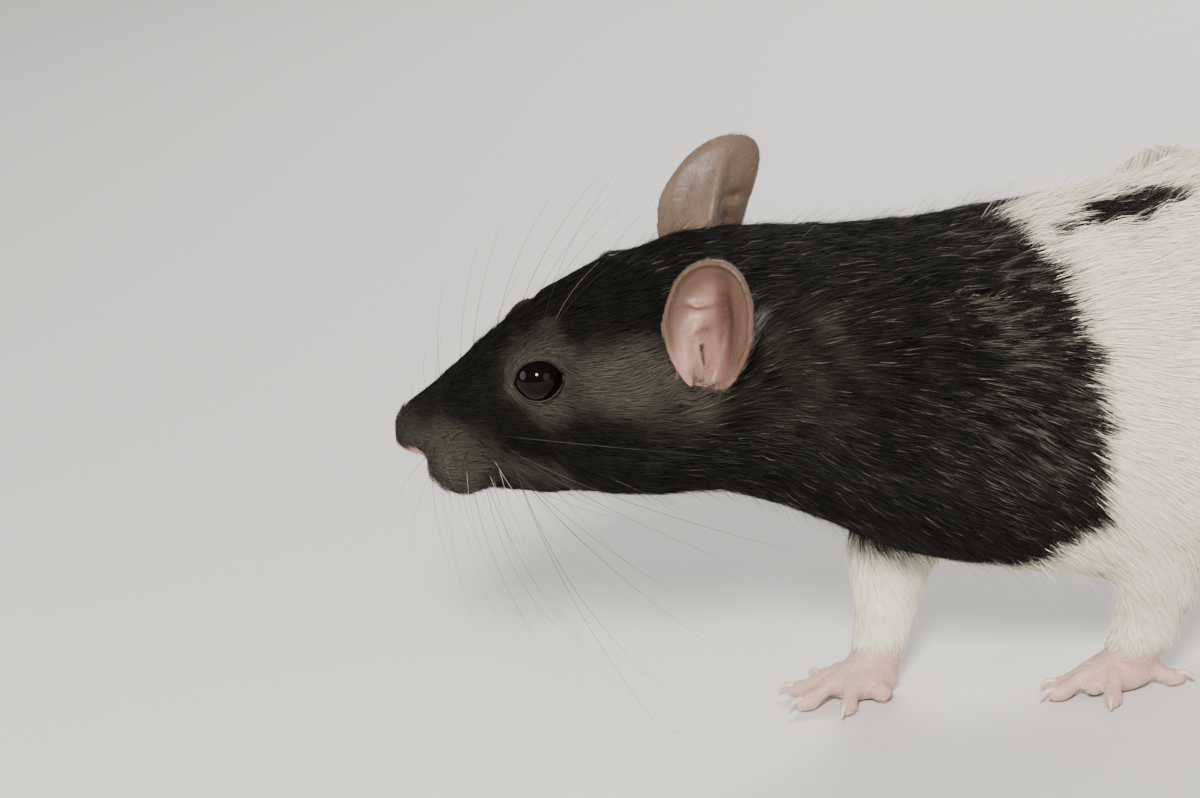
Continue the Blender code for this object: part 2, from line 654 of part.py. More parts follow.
def make_legs(trunk):
    """Takes the legs off the trunk, and parts each at its elbow or knee and above its paw."""
    nodes = {}
    for side in SIDES:
        for fore in (True, False):
            cutter = leg_cutter(side, fore)
            leg = carved(copied(trunk, "leg"), cutter, "INTERSECT")
            bored(trunk, swollen(cutter, "clear"))
            bpy.data.objects.remove(cutter)
            upper, lower = ("upper_arm_", "forearm_") if fore else ("thigh_", "shank_")
            (x, z), lean = ELBOW_CUTS[side] if fore else KNEE_CUT
            x += 0.0 if fore else HIND_SHIFT[side][0]
            down = Vector((math.sin(lean), 0.0, -math.cos(lean)))
            foot = sliced(copied(leg, "foot"), (x, 0.0, z), down)
            sliced(foot, (0.0, 0.0, WRIST_HEIGHT if fore else ANKLE_HEIGHT), (0.0, 0.0, 1.0))
            nodes[lower + side] = largest_body(foot, lower + side)
            nodes[upper + side] = largest_body(sliced(leg, (x, 0.0, z), -down), upper + side)
    return nodes


def make_body():
    """Legs, and the trunk parted into shoulders, ribs and hips behind the neck."""
    x, z, lean = NECK_CUT
    trunk = sliced(make_trunk(), (x, 0.0, z), (math.cos(lean), 0.0, -math.sin(lean)))
    nodes = make_legs(trunk)
    trunk = largest_body(trunk, "trunk")
    nodes["shoulders"], rest = parted(trunk, HOOD_CUT, "shoulders", "rest")
    nodes["ribs"], nodes["hips"] = parted(rest, WAIST_CUT, "ribs", "hips")
    return nodes


def tail_path():
    """Even points along the tail's middle, with its radius."""
    x, y, top = TAIL_ROOT
    path = []
    previous = top
    for k in range(round(TAIL_LENGTH / TAIL_STEP) + 1):
        along = k * TAIL_STEP
        share = along / TAIL_LENGTH
        radius = TAIL_TIP_RADIUS + (TAIL_ROOT_RADIUS - TAIL_TIP_RADIUS) * (1 - share) ** TAIL_TAPER
        rest = radius - FLAT
        height = rest + (top - rest) * (1 - ease(along / TAIL_DROP))
        heading = math.radians(TAIL_SWING) * math.sin(2 * math.pi * share)
        if k:
            level = math.sqrt(max(0.0, TAIL_STEP ** 2 - (height - previous) ** 2))
            x += level * math.cos(heading)
            y += level * math.sin(heading)
        previous = height
        path.append((x, y, height, radius))
    return path


def make_tail(hips_clear):
    """The tail in a few lengths, face to face, flattened a little where it lies."""
    path = tail_path()
    whole = carved(limb("tail", domed(path), roundness=2), hips_clear)
    whole = on_floor(largest_body(whole, "tail"))
    lengths = []
    for k in range(1, TAIL_LENGTHS):
        i = round(len(path) * (k - 1 + TAIL_FIRST_SHARE) / (TAIL_LENGTHS - 1 + TAIL_FIRST_SHARE))
        point = Vector(path[i][:3])
        ahead = Vector(path[i + 1][:3]) - Vector(path[i - 1][:3])
        tip = sliced(copied(whole, "rest"), point, ahead)
        root = sliced(whole, point, -ahead)
        lengths.append(root)
        whole = tip
    lengths.append(whole)
    return {"tail_%d" % (k + 1): length for k, length in enumerate(lengths)}


def painted(thing, slot):
    material = bpy.data.materials.get(slot)
    if material is None:
        colour, roughness = COLOURS[slot]
        material = bpy.data.materials.new(slot)
        material.use_nodes = True
        shader = material.node_tree.nodes["Principled BSDF"]
        shader.inputs["Base Color"].default_value = (*colour, 1.0)
        shader.inputs["Roughness"].default_value = roughness
        shader.inputs["Metallic"].default_value = 0.0
        material.diffuse_color = (*colour, 1.0)
    thing.data.materials.clear()
    thing.data.materials.append(material)


def slot_of(name):
    if name.startswith("eye"):
        return "eye"
    if name.startswith("ear"):
        return "ear_skin"
    if name.startswith("tail"):
        return "tail_skin"
    if "paw" in name:
        return "paw_skin"
    if name.startswith(("head", "neck", "shoulders", "upper_arm")):
        return "black_coat"
    return "white_coat"


def main():
    for thing in list(bpy.data.objects):
        bpy.data.objects.remove(thing)

    whole_head = make_head()
    head_clear = swollen(whole_head, "head_clear")
    whole_head = with_face(whole_head)
    nodes = {}
    for side, sign in SIDES.items():
        nodes["ear_" + side] = make_ear("ear_" + side, side, head_clear)
        nodes["eye_" + side] = make_eye("eye_" + side, sign)
    bpy.data.objects.remove(head_clear)
    nodes["head"], rest = parted(whole_head, HEAD_CUT, "head", "rest")
    nodes["neck"], scrap = parted(rest, NECK_CUT, "neck", "scrap")
    bpy.data.objects.remove(scrap)

    nodes.update(make_body())
    hips_clear = swollen(nodes["hips"], "hips_clear")
    nodes.update(make_tail(hips_clear))
    bpy.data.objects.remove(hips_clear)
    for side in SIDES:
        nodes["forepaw_" + side] = make_fore_paw("forepaw_" + side, side)
        nodes["hindpaw_" + side] = make_hind_paw("hindpaw_" + side, side)

    rat = bpy.data.objects.new("rat", None)
    bpy.context.scene.collection.objects.link(rat)
    rat.location = (-CENTRE_X * MM, -CENTRE_Y * MM, 0.0)
    for name, thing in nodes.items():
        thing.name = name
        thing.parent = rat
        painted(thing, slot_of(name))
        thing.data.shade_smooth()
        thing.data.set_sharp_from_angle(angle=math.radians(50))


main()
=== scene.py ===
import math
from types import SimpleNamespace

import bpy
import numpy as np
from mathutils import Matrix, Vector
from mathutils.kdtree import KDTree


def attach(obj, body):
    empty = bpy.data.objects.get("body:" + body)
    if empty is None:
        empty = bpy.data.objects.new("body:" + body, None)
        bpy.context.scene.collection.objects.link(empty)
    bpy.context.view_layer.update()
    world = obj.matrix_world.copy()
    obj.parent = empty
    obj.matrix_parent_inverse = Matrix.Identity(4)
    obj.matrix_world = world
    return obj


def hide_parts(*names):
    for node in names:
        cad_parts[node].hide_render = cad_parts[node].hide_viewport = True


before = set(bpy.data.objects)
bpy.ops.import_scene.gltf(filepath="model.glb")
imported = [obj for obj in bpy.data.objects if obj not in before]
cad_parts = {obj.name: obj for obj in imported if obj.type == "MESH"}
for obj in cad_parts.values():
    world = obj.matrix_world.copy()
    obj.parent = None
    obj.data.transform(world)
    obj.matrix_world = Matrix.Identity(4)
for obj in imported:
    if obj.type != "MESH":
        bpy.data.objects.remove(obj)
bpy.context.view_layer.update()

mm = 0.001
fromPart = np.array((-151.1, -2.3, 0.0))   # sizes below are in the part's own mm; this moves them to the frame
sides = {"left": -1.0, "right": 1.0}


rat = {
    "headAxisHeight": 54.0,
    "headRoll": 9.0,             # degrees, whole in front of rollFull and gone behind rollEnds
    "rollFull": 14.0,
    "rollEnds": 48.0,
    "eye": (-7.9, 8.2, 5.6),     # in the head's own frame
    "eyeRadius": 3.45,
    "eyeFaces": (3.0, 0.6),      # it looks outwards, and up by this much for that much outwards
    "floor": 0.0,
}


def ease(t):
    t = np.clip(t, 0.0, 1.0)
    return t * t * (3 - 2 * t)


def rollAt(x):
    return math.radians(rat["headRoll"]) * (1 - ease((x - rat["rollFull"]) / (rat["rollEnds"] - rat["rollFull"])))


def headPoint(x, y, z):      # a point of the head's own frame, in the part's mm
    turn = rollAt(x)
    return Vector((x, y * math.cos(turn) - z * math.sin(turn),
                   rat["headAxisHeight"] + z * math.cos(turn) + y * math.sin(turn)))


def inHead(points):          # the other way, for many points
    turn = rollAt(points[:, 0])
    y, z = points[:, 1], points[:, 2] - rat["headAxisHeight"]
    return np.stack((points[:, 0], y * np.cos(turn) + z * np.sin(turn), z * np.cos(turn) - y * np.sin(turn)), 1)


def toFrame(point):
    return Vector([(a + b) * mm for a, b in zip(point, fromPart)])


def addThing(name, data):
    thing = bpy.data.objects.new(name, data)
    bpy.context.scene.collection.objects.link(thing)
    return thing


def setPoints(thing, points):      # moves a mesh's points to these, given in the part's mm
    thing.data.vertices.foreach_set("co", ((points + fromPart) * mm).ravel())


def between(ends, share):
    return ends[0] + (ends[1] - ends[0]) * share


def unit(ways, least=0.0):      # each row drawn to length 1
    return ways / (np.linalg.norm(ways, axis=1)[:, None] + least)


def laidFlat(ways, normals):      # each row without the part of it that stands off the skin
    return ways - normals * np.sum(ways * normals, axis=1)[:, None]


def treeOf(points):      # finds the nearest of many points
    tree = KDTree(len(points))
    for k, point in enumerate(points):
        tree.insert(point, k)
    tree.balance()
    return tree


def selectOnly(*things):
    bpy.ops.object.select_all(action="DESELECT")
    for thing in things:
        thing.select_set(True)
    bpy.context.view_layer.objects.active = things[-1]


def applyAll(thing):
    selectOnly(thing)
    for made in list(thing.modifiers):
        bpy.ops.object.modifier_apply(modifier=made.name)
    return thing


def joined(pieces, name):
    selectOnly(*pieces)
    bpy.ops.object.join()
    thing = bpy.context.object
    thing.name = name
    return thing


def finished(thing, paint):      # smooth, and in one material
    bpy.ops.object.shade_smooth()
    thing.data.materials.clear()
    thing.data.materials.append(paint)
    return thing


def curveMesh(name, paths, sidesRound, capped):      # round tubes along (x, y, z, radius) points
    curve = bpy.data.curves.new(name, "CURVE")
    curve.dimensions = "3D"
    curve.bevel_depth = mm
    curve.bevel_resolution = sidesRound
    curve.use_fill_caps = capped
    for path in paths:
        spline = curve.splines.new("POLY")
        spline.points.add(len(path) - 1)
        for point, (x, y, z, radius) in zip(spline.points, path):
            point.co = (*toFrame((x, y, z)), 1.0)
            point.radius = radius
    selectOnly(addThing(name, curve))
    bpy.ops.object.convert(target="MESH")
    return bpy.context.object


def tube(name, path, sidesRound):
    return curveMesh(name, [path], sidesRound, True)


def smoothPath(points, step):      # points about a step apart on a smooth curve through the given ones
    points = np.array(points, float)
    marks = np.concatenate(([0.0], np.cumsum(np.linalg.norm(np.diff(points[:, :3], axis=0), axis=1))))
    slopes = np.gradient(points, marks, axis=0)
    at = np.linspace(0, marks[-1], max(2, round(marks[-1] / step)) + 1)
    k = np.clip(np.searchsorted(marks, at, "right") - 1, 0, len(marks) - 2)
    wide = (marks[k + 1] - marks[k])[:, None]
    t = (at[:, None] - marks[k][:, None]) / wide
    return ((2 * t ** 3 - 3 * t ** 2 + 1) * points[k] + (t ** 3 - 2 * t ** 2 + t) * wide * slopes[k]
            + (3 * t ** 2 - 2 * t ** 3) * points[k + 1] + (t ** 3 - t ** 2) * wide * slopes[k + 1])


def domed(path):           # the path with a rounded end added at each end
    path = [tuple(p) for p in path]

    def dome(end, inner):
        way = (Vector(end[:3]) - Vector(inner[:3])).normalized()
        return [(*(Vector(end[:3]) + way * end[3] * out), end[3] * math.sqrt(1 - out * out))
                for out in (0.5, 0.8, 0.97)]
    return dome(path[0], path[1])[::-1] + path + dome(path[-1], path[-2])


def egg(name, centre, radii):
    bpy.ops.object.select_all(action="DESELECT")
    bpy.ops.mesh.primitive_ico_sphere_add(subdivisions=4, radius=mm)
    thing = bpy.context.object
    thing.name = name
    thing.data.transform(Matrix.Translation(toFrame(centre)) @ Matrix.Diagonal((*radii, 1.0)))
    return thing


def softNoise(points, wave, seed, waves=12):      # smooth numbers, mostly -1 to 1, that change about every wave mm
    draw = np.random.default_rng(seed)
    total = np.zeros(len(points))
    for _ in range(waves):
        way = draw.normal(size=3)
        way *= 2 * math.pi / (wave * draw.uniform(1.2, 2.6) * np.linalg.norm(way))
        total += np.sin(points @ way + draw.uniform(0, 2 * math.pi))
    return total / 3.5      # about the height of all the waves together


def objectPlace(tree):
    return tree.nodes.new("ShaderNodeTexCoord").outputs["Object"]


def attributeOn(tree, name):
    node = tree.nodes.new("ShaderNodeAttribute")
    node.attribute_name = name
    return node


def feed(tree, port, value):      # links a socket to the port, or sets its value
    if isinstance(value, bpy.types.NodeSocket):
        tree.links.new(value, port)
    else:
        port.default_value = value


def mixColour(tree, share, first, second, blend="MIX"):
    node = tree.nodes.new("ShaderNodeMix")
    node.data_type, node.blend_type = "RGBA", blend
    for port, value in ((0, share), (6, first), (7, second)):
        feed(tree, node.inputs[port], value)
    return node.outputs[2]


def tinted(tree, first, second):
    return mixColour(tree, 1.0, first, second, "MULTIPLY")


def maths(tree, kind, first, second=0.0):
    node = tree.nodes.new("ShaderNodeMath")
    node.operation = kind
    for port, value in zip(node.inputs, (first, second)):
        feed(tree, port, value)
    return node.outputs[0]


def newMaterial(name, **sockets):
    made = bpy.data.materials.new(name)
    made.use_nodes = True
    shader = made.node_tree.nodes["Principled BSDF"]
    for label, value in sockets.items():
        shader.inputs[label.replace("_", " ")].default_value = value
    return made, made.node_tree, shader


def bumpFrom(tree, height, strength, distance, under=None):      # distance in mm
    node = tree.nodes.new("ShaderNodeBump")
    node.inputs["Strength"].default_value = strength
    node.inputs["Distance"].default_value = distance * mm
    tree.links.new(height, node.inputs["Height"])
    if under:
        tree.links.new(under, node.inputs["Normal"])
    return node.outputs["Normal"]


def noiseOn(tree, scale, detail=2.0, stretch=(1, 1, 1)):
    mapping = tree.nodes.new("ShaderNodeMapping")
    mapping.inputs["Scale"].default_value = stretch
    tree.links.new(objectPlace(tree), mapping.inputs["Vector"])
    node = tree.nodes.new("ShaderNodeTexNoise")
    node.inputs["Scale"].default_value = scale
    node.inputs["Detail"].default_value = detail
    tree.links.new(mapping.outputs["Vector"], node.inputs["Vector"])
    return node.outputs["Fac"]


camera = {
    "down": 18.0,                 # degrees below level
    "roll": 8.0,
    "target": (0.0, 0.0, 51.0),
    "distance": 0.45,
    "lens": 97.2,
    "sensor": 36.0,
    "nearest": 0.01,
}


def makeCamera():
    down, roll = math.radians(camera["down"]), math.radians(camera["roll"])
    up = Vector((0, math.sin(down), math.cos(down)))
    ahead = Vector((0, math.cos(down), -math.sin(down)))
    right = Vector((math.cos(roll), 0, 0)) - up * math.sin(roll)
    up = Vector((math.sin(roll), 0, 0)) + up * math.cos(roll)
    data = bpy.data.cameras.new("camera")
    data.lens, data.sensor_width, data.clip_start = camera["lens"], camera["sensor"], camera["nearest"]
    eye = addThing("camera", data)
    turn = Matrix((right, up, -ahead)).transposed().to_4x4()
    eye.matrix_world = Matrix.Translation(toFrame(camera["target"]) - ahead * camera["distance"]) @ turn
    bpy.context.scene.camera = eye


lights = {                        # place, what it looks at, size, power and colour
    "key": ((-0.20, -0.62, 0.48), (-0.12, 0.0, 0.05), 0.16, 13.0, (1.0, 0.96, 0.90)),
    "fill": ((0.55, -0.75, 0.30), (-0.05, 0.0, 0.05), 0.60, 3.0, (0.92, 0.96, 1.0)),
    "rim": ((0.10, 0.65, 0.60), (-0.05, 0.0, 0.05), 0.35, 8.0, (1.0, 0.98, 0.95)),
    "front": ((-0.75, -0.10, 0.25), (-0.15, 0.0, 0.05), 0.35, 2.0, (1.0, 0.97, 0.93)),
}
room = {
    "floorColour": (0.60, 0.585, 0.56, 1),
    "floorSize": 6.0,
    "floorBelow": 0.0002,         # it lies just under the feet
    "floorRoughness": 0.75,
    "grain": (900.0, 0.08, 0.2),  # scale, strength and depth in mm
    "worldColour": (0.75, 0.78, 0.82, 1),
    "worldStrength": 0.35,
}


def makeLights():
    for name, (place, look, size, power, colour) in lights.items():
        data = bpy.data.lights.new(name, "AREA")
        data.shape, data.size, data.energy, data.color = "DISK", size, power, colour
        lamp = addThing(name, data)
        lamp.location = place
        lamp.rotation_euler = (Vector(look) - Vector(place)).to_track_quat("-Z", "Y").to_euler()
    world = bpy.data.worlds.new("studio")
    world.use_nodes = True
    sky = world.node_tree.nodes["Background"]
    sky.inputs["Color"].default_value = room["worldColour"]
    sky.inputs["Strength"].default_value = room["worldStrength"]
    bpy.context.scene.world = world


def makeFloor():
    bpy.ops.object.select_all(action="DESELECT")
    bpy.ops.mesh.primitive_plane_add(size=room["floorSize"], location=(0, 0, -room["floorBelow"]))
    floor = bpy.context.object
    floor.name = "floor"
    paper, tree, shader = newMaterial("paleFloor", Base_Color=room["floorColour"], Roughness=room["floorRoughness"])
    scale, strength, depth = room["grain"]
    tree.links.new(bumpFrom(tree, noiseOn(tree, scale), strength, depth), shader.inputs["Normal"])
    floor.data.materials.append(paper)


makeCamera()
makeLights()
makeFloor()
print("camera, lights and floor are in place")


ear = {
    # foot, way to the tip, way that the cup opens, length and width
    "left": ((15.2, -15.0, 55.2), (0.08, -0.26, 0.96), (-0.42, -0.90, 0.0), 19.3, 12.3),
    "right": ((15.2, 13.6, 60.2), (0.29, 0.24, 0.93), (-0.30, 0.95, 0.0), 23.4, 12.9),
    "thickness": 0.9,
    "depth": 3.1,
    "shallower": 0.3,             # the cup loses this share of its depth at the tip and gains it at the foot
    "sidesForward": 2.8,          # the lower sides curl forward, and the tip leans back
    "tipBack": 1.6,
    "narrowFoot": 0.32,
    "fullTip": 0.22,
    "hook": {"left": 0.6, "right": 3.2},      # how far the tip hooks towards the tail
    "grid": 64,
    # folds in the cup: middle across and along, half sizes, turn in degrees, height
    "folds": {
        "bump": (-0.34, -0.06, 0.20, 0.15, 8.0, 2.2),
        "ridge": (-0.36, 0.24, 0.22, 0.07, -6.0, 1.5),
        "groove": (0.16, 0.02, 0.13, 0.58, 3.0, -1.5),
        "lobe": (-0.50, -0.50, 0.22, 0.42, 18.0, 2.6),
        "line": (-0.24, -0.50, 0.06, 0.26, 20.0, 1.6),
        "backFold": (0.60, -0.02, 0.17, 0.62, -6.0, 0.7),
    },
    "rimCurl": 0.75,
    "rimBand": (0.86, 0.14),      # where the rim starts to curl, and over how much of the radius
    "root": (4.6, 3.4, (4.0, 3.6, 4.6)),      # up from the foot, back from the face, and radii
    "clear": (0.95, 0.15, 9.0),   # the head is let in over this share of the cup, eased at its edge, so deep
    "claimed": (0.98, 0.28, 2.0),      # skin up to this share, more at the foot, and this near the cup, is the ear's
}


def earFrame(side):
    foot, up, face, length, width = ear[side]
    up = Vector(up).normalized()
    face = Vector(face)
    face = (face - up * face.dot(up)).normalized()
    return np.array(foot), np.array(up), np.array(face), np.array(up.cross(face)), length, width


def earFold(name, across, along, wider=1.0):      # 1 in the middle of a fold, and less away from it
    acrossAt, alongAt, halfAcross, halfAlong, turn, _ = ear["folds"][name]
    c, s = math.cos(math.radians(turn)), math.sin(math.radians(turn))
    u, v = across - acrossAt, along - alongAt
    return np.exp(-(((u * c + v * s) / halfAcross) ** 2 + ((v * c - u * s) / halfAlong) ** 2) / wider)


def earDepth(across, along):      # how far the cup's middle surface stands in front of the ear's plane
    share = np.sqrt(across ** 2 + along ** 2)
    deep = (-ear["depth"] * (1 - share ** 2) * (1 - ear["shallower"] * along)
            + ear["sidesForward"] * across ** 2 * np.maximum(0, 0.5 - along)
            - ear["tipBack"] * np.maximum(0, along) ** 2)
    for name, fold in ear["folds"].items():
        deep = deep + fold[-1] * earFold(name, across, along)
    rimFrom, rimOver = ear["rimBand"]
    return deep + ear["rimCurl"] * ease((share - rimFrom) / rimOver)


def hookAt(side, along):
    return math.copysign(ear["hook"][side], earFrame(side)[3][0]) * np.maximum(0, along) ** 2


def earWidth(along):      # narrow at the foot, full towards the tip
    return (1 - ear["narrowFoot"] * np.clip(-along, 0, 1)) * (1 + ear["fullTip"] * np.clip(along, 0, 1) ** 2)


def earPoint(side, across, along):
    foot, up, face, acrossWay, length, width = earFrame(side)
    wide = width / 2 * across * earWidth(along) + hookAt(side, along)
    return (foot + acrossWay * wide[:, None] + up * (length * (0.5 + 0.5 * along))[:, None]
            + face * earDepth(across, along)[:, None])


def inEar(side, points):      # each point's place across and along the ear, and in front of its plane
    foot, up, face, acrossWay, length, width = earFrame(side)
    off = points - foot
    along = off @ up / (length / 2) - 1
    across = (off @ acrossWay - hookAt(side, along)) / (width / 2 * earWidth(along))
    return across, along, off @ face


def makeEar(side):
    bpy.ops.object.select_all(action="DESELECT")
    bpy.ops.mesh.primitive_grid_add(x_subdivisions=ear["grid"], y_subdivisions=ear["grid"], size=2.0)
    shell = bpy.context.object
    square = np.array([v.co for v in shell.data.vertices])
    across = square[:, 0] * np.sqrt(1 - square[:, 1] ** 2 / 2)      # the square grid drawn out to a disc
    along = square[:, 1] * np.sqrt(1 - square[:, 0] ** 2 / 2)
    setPoints(shell, earPoint(side, across, along))
    shell.modifiers.new("wall", "SOLIDIFY").thickness = ear["thickness"] * mm
    shell.modifiers["wall"].offset = 0.0
    applyAll(shell)
    foot, up, face, _, _, _ = earFrame(side)
    rise, back, radii = ear["root"]
    return [shell, egg("root", foot + up * rise - face * back, radii)]


paw = {
    "palmRadii": (5.4, 4.2, 2.9),
    "palmHeight": 2.4,
    # middle of the palm, the heading and reach of each toe, and those of the thumb
    "fore": {
        "left": ((67.4, -6.4), ((-184.0, 9.2), (-166.0, 10.0), (-108.0, 7.8), (-18.0, 8.4)), (-146.0, 4.8)),
        "right": ((31.8, 3.2), ((-114.0, 7.8), (-160.0, 9.8), (-194.0, 10.2), (-228.0, 8.4)), (-60.0, 4.8)),
    },
    "wrist": {
        "left": [(72.0, -8.6, 11.5, 5.0), (70.3, -7.0, 7.0, 4.2), (69.0, -6.4, 4.6, 3.9)],
        "right": [(36.8, 6.6, 12.8, 5.0), (35.2, 5.6, 7.4, 4.1), (34.2, 5.0, 4.8, 3.8)],
    },
    "wristEnd": (3.3, 3.0),       # height and radius where it meets the palm
    "thumb": ((-3.0, 2.2, 1.8), (0.0, 1.7, 1.5)),
    "hindTip": (101.5, -19.0),
    "hindLength": 38.0,
    "ball": 12.5,
    "heel": ((3.2, 2.7, 3.1), (12.0, 2.6, 3.1)),      # in front of the heel's end: how far, height and radius
    "sole": ((4.5, 2.6, 3.5), (0.0, 2.4, 3.7)),       # and behind the ball of the foot
    "hindToes": ((-3.0, -24.0, 8.6), (-1.7, -8.0, 11.6), (0.0, 0.0, 12.5), (1.7, 8.0, 11.8), (3.1, 26.0, 9.0)),
    "ankle": [(126.0, -20.2, 16.5, 6.8), (132.8, -19.2, 10.8, 4.8), (136.4, -18.8, 6.4, 4.0)],
    "ankleEnd": (4.5, 3.6, 3.4),
    "hindShift": {"left": (0.0, 0.0), "right": (13.0, 4.5)},
    # along a toe: share of its reach, height and radius
    "toe": ((0.10, 2.9, 1.45), (0.30, 3.2, 1.25), (0.46, 3.0, 1.35), (0.62, 2.3, 1.15), (0.76, 1.6, 1.2),
            (0.90, 1.15, 1.36), (1.0, 1.05, 1.05)),
    # from the tip of the toe: how far out, height and radius
    "claw": ((-0.9, 1.4, 0.50), (0.3, 1.85, 0.52), (1.0, 1.85, 0.44), (1.6, 1.45, 0.32), (2.2, 0.8, 0.12)),
}
clawPaths = []


def toePath(root, heading, reach, stops):
    turn = math.radians(heading)
    ahead = Vector((math.cos(turn), math.sin(turn), 0.0))
    return [(*(Vector((*root, height)) + ahead * (reach + out)), radius) for out, height, radius in stops]


def toe(root, heading, reach):
    clawPaths.append(toePath(root, heading, reach, paw["claw"]))
    stops = [(share * reach, height, radius) for share, height, radius in paw["toe"]]
    return tube("toe", domed(smoothPath(toePath(root, heading, 0.0, stops), 0.5)), 6)


def makeForePaw(side):
    palm, toes, thumb = paw["fore"][side]
    pieces = [egg("palm", (*palm, paw["palmHeight"]), paw["palmRadii"])]
    pieces.append(tube("wrist", domed(smoothPath(paw["wrist"][side] + [(*palm, *paw["wristEnd"])], 0.8)), 8))
    pieces.append(tube("thumb", domed(toePath(palm, *thumb, paw["thumb"])), 6))
    return pieces + [toe(palm, heading, reach) for heading, reach in toes]


def makeHindPaw(side):
    sign = sides[side]
    along, across = paw["hindShift"][side]
    toeX, middle = paw["hindTip"][0] + along, -sign * paw["hindTip"][1] + across
    heelX, ballX = toeX + paw["hindLength"], toeX + paw["ball"]
    sole = ([(heelX - ahead, middle, height, radius) for ahead, height, radius in paw["heel"]]
            + [(ballX + behind, middle, height, radius) for behind, height, radius in paw["sole"]])
    ankle = [(x + along, -sign * y + across, z, radius) for x, y, z, radius in paw["ankle"]]
    ahead, height, radius = paw["ankleEnd"]
    ankle.append((heelX - ahead, middle, height, radius))
    pieces = [tube("sole", domed(smoothPath(sole, 1.0)), 8), tube("ankle", domed(smoothPath(ankle, 1.0)), 8)]
    return pieces + [toe((ballX, middle + sign * offset), 180.0 - sign * heading, reach)
                     for offset, heading, reach in paw["hindToes"]]


tail = {
    "length": 176.0,
    "root": (170.0, 5.0, 34.5),
    "rootRadius": 5.4,
    "tipRadius": 1.0,
    "taper": 1.25,
    "drop": 56.0,
    "swing": 17.0,
    "flat": 0.25,
    "marks": 3.2,                 # the line is worked out at these steps, and then made smooth at finer ones
    "step": 1.6,
    "ringGap": 1.15,              # from one ring of scales to the next
}


def tailPath():
    x, y, top = tail["root"]
    path, previous, step = [], top, tail["marks"]
    for k in range(round(tail["length"] / step) + 1):
        along = k * step
        share = along / tail["length"]
        radius = tail["tipRadius"] + (tail["rootRadius"] - tail["tipRadius"]) * (1 - share) ** tail["taper"]
        rest = radius - tail["flat"]
        height = rest + (top - rest) * (1 - ease(along / tail["drop"]))
        heading = math.radians(tail["swing"]) * math.sin(2 * math.pi * share)
        if k:
            level = math.sqrt(max(0.0, step ** 2 - (height - previous) ** 2))
            x += level * math.cos(heading)
            y += level * math.sin(heading)
        previous = height
        path.append((x, y, height, radius))
    return smoothPath(path, tail["step"])


tailLine = tailPath()
tailWays = np.gradient(tailLine[:, :3], axis=0)


def nearestOnTail(points):
    return np.argmin(np.linalg.norm(points[:, None] - tailLine[None, :, :3], axis=2), axis=1)


def alongTail(points):      # how far down the tail each point is, and its angle round it
    lines = tailLine[:, :3]
    marks = np.concatenate(([0.0], np.cumsum(np.linalg.norm(np.diff(lines, axis=0), axis=1))))
    nearest = nearestOnTail(points)
    off, ways = points - lines[nearest], unit(tailWays)[nearest]
    along = marks[nearest] + np.sum(off * ways, axis=1)
    return along, np.arctan2(off[:, 2], np.sum(off * np.cross(ways, (0, 0, 1.0)), axis=1))


skin = {
    "swell": 0.30,                # closes the part's thin cuts while the pieces melt together
    "voxel": 0.40,
    "triangles": 186000,
    "socket": (3.62, 1.0),        # radius of the flesh that fills the eye's socket, and how far it sits inside
    "headDepth": (0.12, 0.75),    # depth of the coat at the nose, and what it gains to the nape
    "toNape": (30.0, 34.0),
    "eyeGap": (3.9, 1.6),         # no coat this near the middle of the eye, and all of it this much further out
    "depthPasses": 60,
    "furry": (0.15, 0.5),         # skin under a coat deeper than this is furry, wholly so this much deeper
    "evenPasses": 14,
    "kink": 0.3,                  # how far a kink under the fur may be moved
    "overFloor": 0.02,
}
lids = {
    "long": 3.18, "high": 2.92,   # half length and half height of the opening
    "corners": ((-0.12, 0.42, 0.30), (3.30, 0.22, 0.26)),      # angle round the eye, how far drawn out, how wide
    "over": 3.60,                 # radius of the lids' skin, over an eyeball of 3.45
    "under": 2.90,                # the skin inside the opening is put back under the ball
    "rim": (0.17, 0.13),          # thickness of the dark rim, at the middle of a lid and at a corner
    "tight": 1.12,                # the skin lies on the ball out to this many times the opening
    "reach": 1.5,                 # and is shaped out to this many times
    "behind": -0.6,               # nothing is shaped further back than this, or further out than "near"
    "near": 8.0,
}
# For each part of the body: depth of the coat, tuft length, tuft width, lift in degrees, tufts per mm2,
# and the way that the coat lies
bodyParts = {
    "head": (0.55, 3.4, 0.10, 15, 20.0, (1.0, 0.0, -0.10)),
    "neck": (1.2, 5.6, 0.115, 16, 14.0, (1.0, 0.0, -0.14)),
    "shoulders": (1.3, 6.4, 0.12, 16, 13.0, (1.0, 0.0, -0.14)),
    "ribs": (1.3, 6.6, 0.13, 14, 10.0, (1.0, 0.0, -0.14)),
    "hips": (1.3, 6.8, 0.15, 14, 8.0, (1.0, 0.0, -0.20)),
    "upper_arm": (1.1, 5.2, 0.12, 15, 13.0, (0.9, 0.0, -0.5)),
    "forearm": (0.55, 2.8, 0.10, 13, 16.0, (0.25, 0.0, -1.0)),
    "forepaw": (0.05, 1.0, 0.05, 16, 9.0, (-0.9, 0.0, -0.5)),
    "thigh": (1.2, 6.0, 0.15, 15, 9.0, (0.8, 0.0, -0.75)),
    "shank": (0.7, 3.4, 0.12, 14, 11.0, (0.35, 0.0, -1.0)),
    "hindpaw": (0.05, 1.0, 0.05, 16, 7.0, (-1.0, 0.0, -0.25)),
    "ear": (0.0, 0.85, 0.032, 30, 20.0, (0.2, 0.0, 1.0)),
    "tail": (0.0, 2.2, 0.06, 16, 1.9, (1.0, 0.0, 0.0)),
}
partNames = list(bodyParts)


def partOf(node):
    return next(name for name in partNames if node.startswith(name))


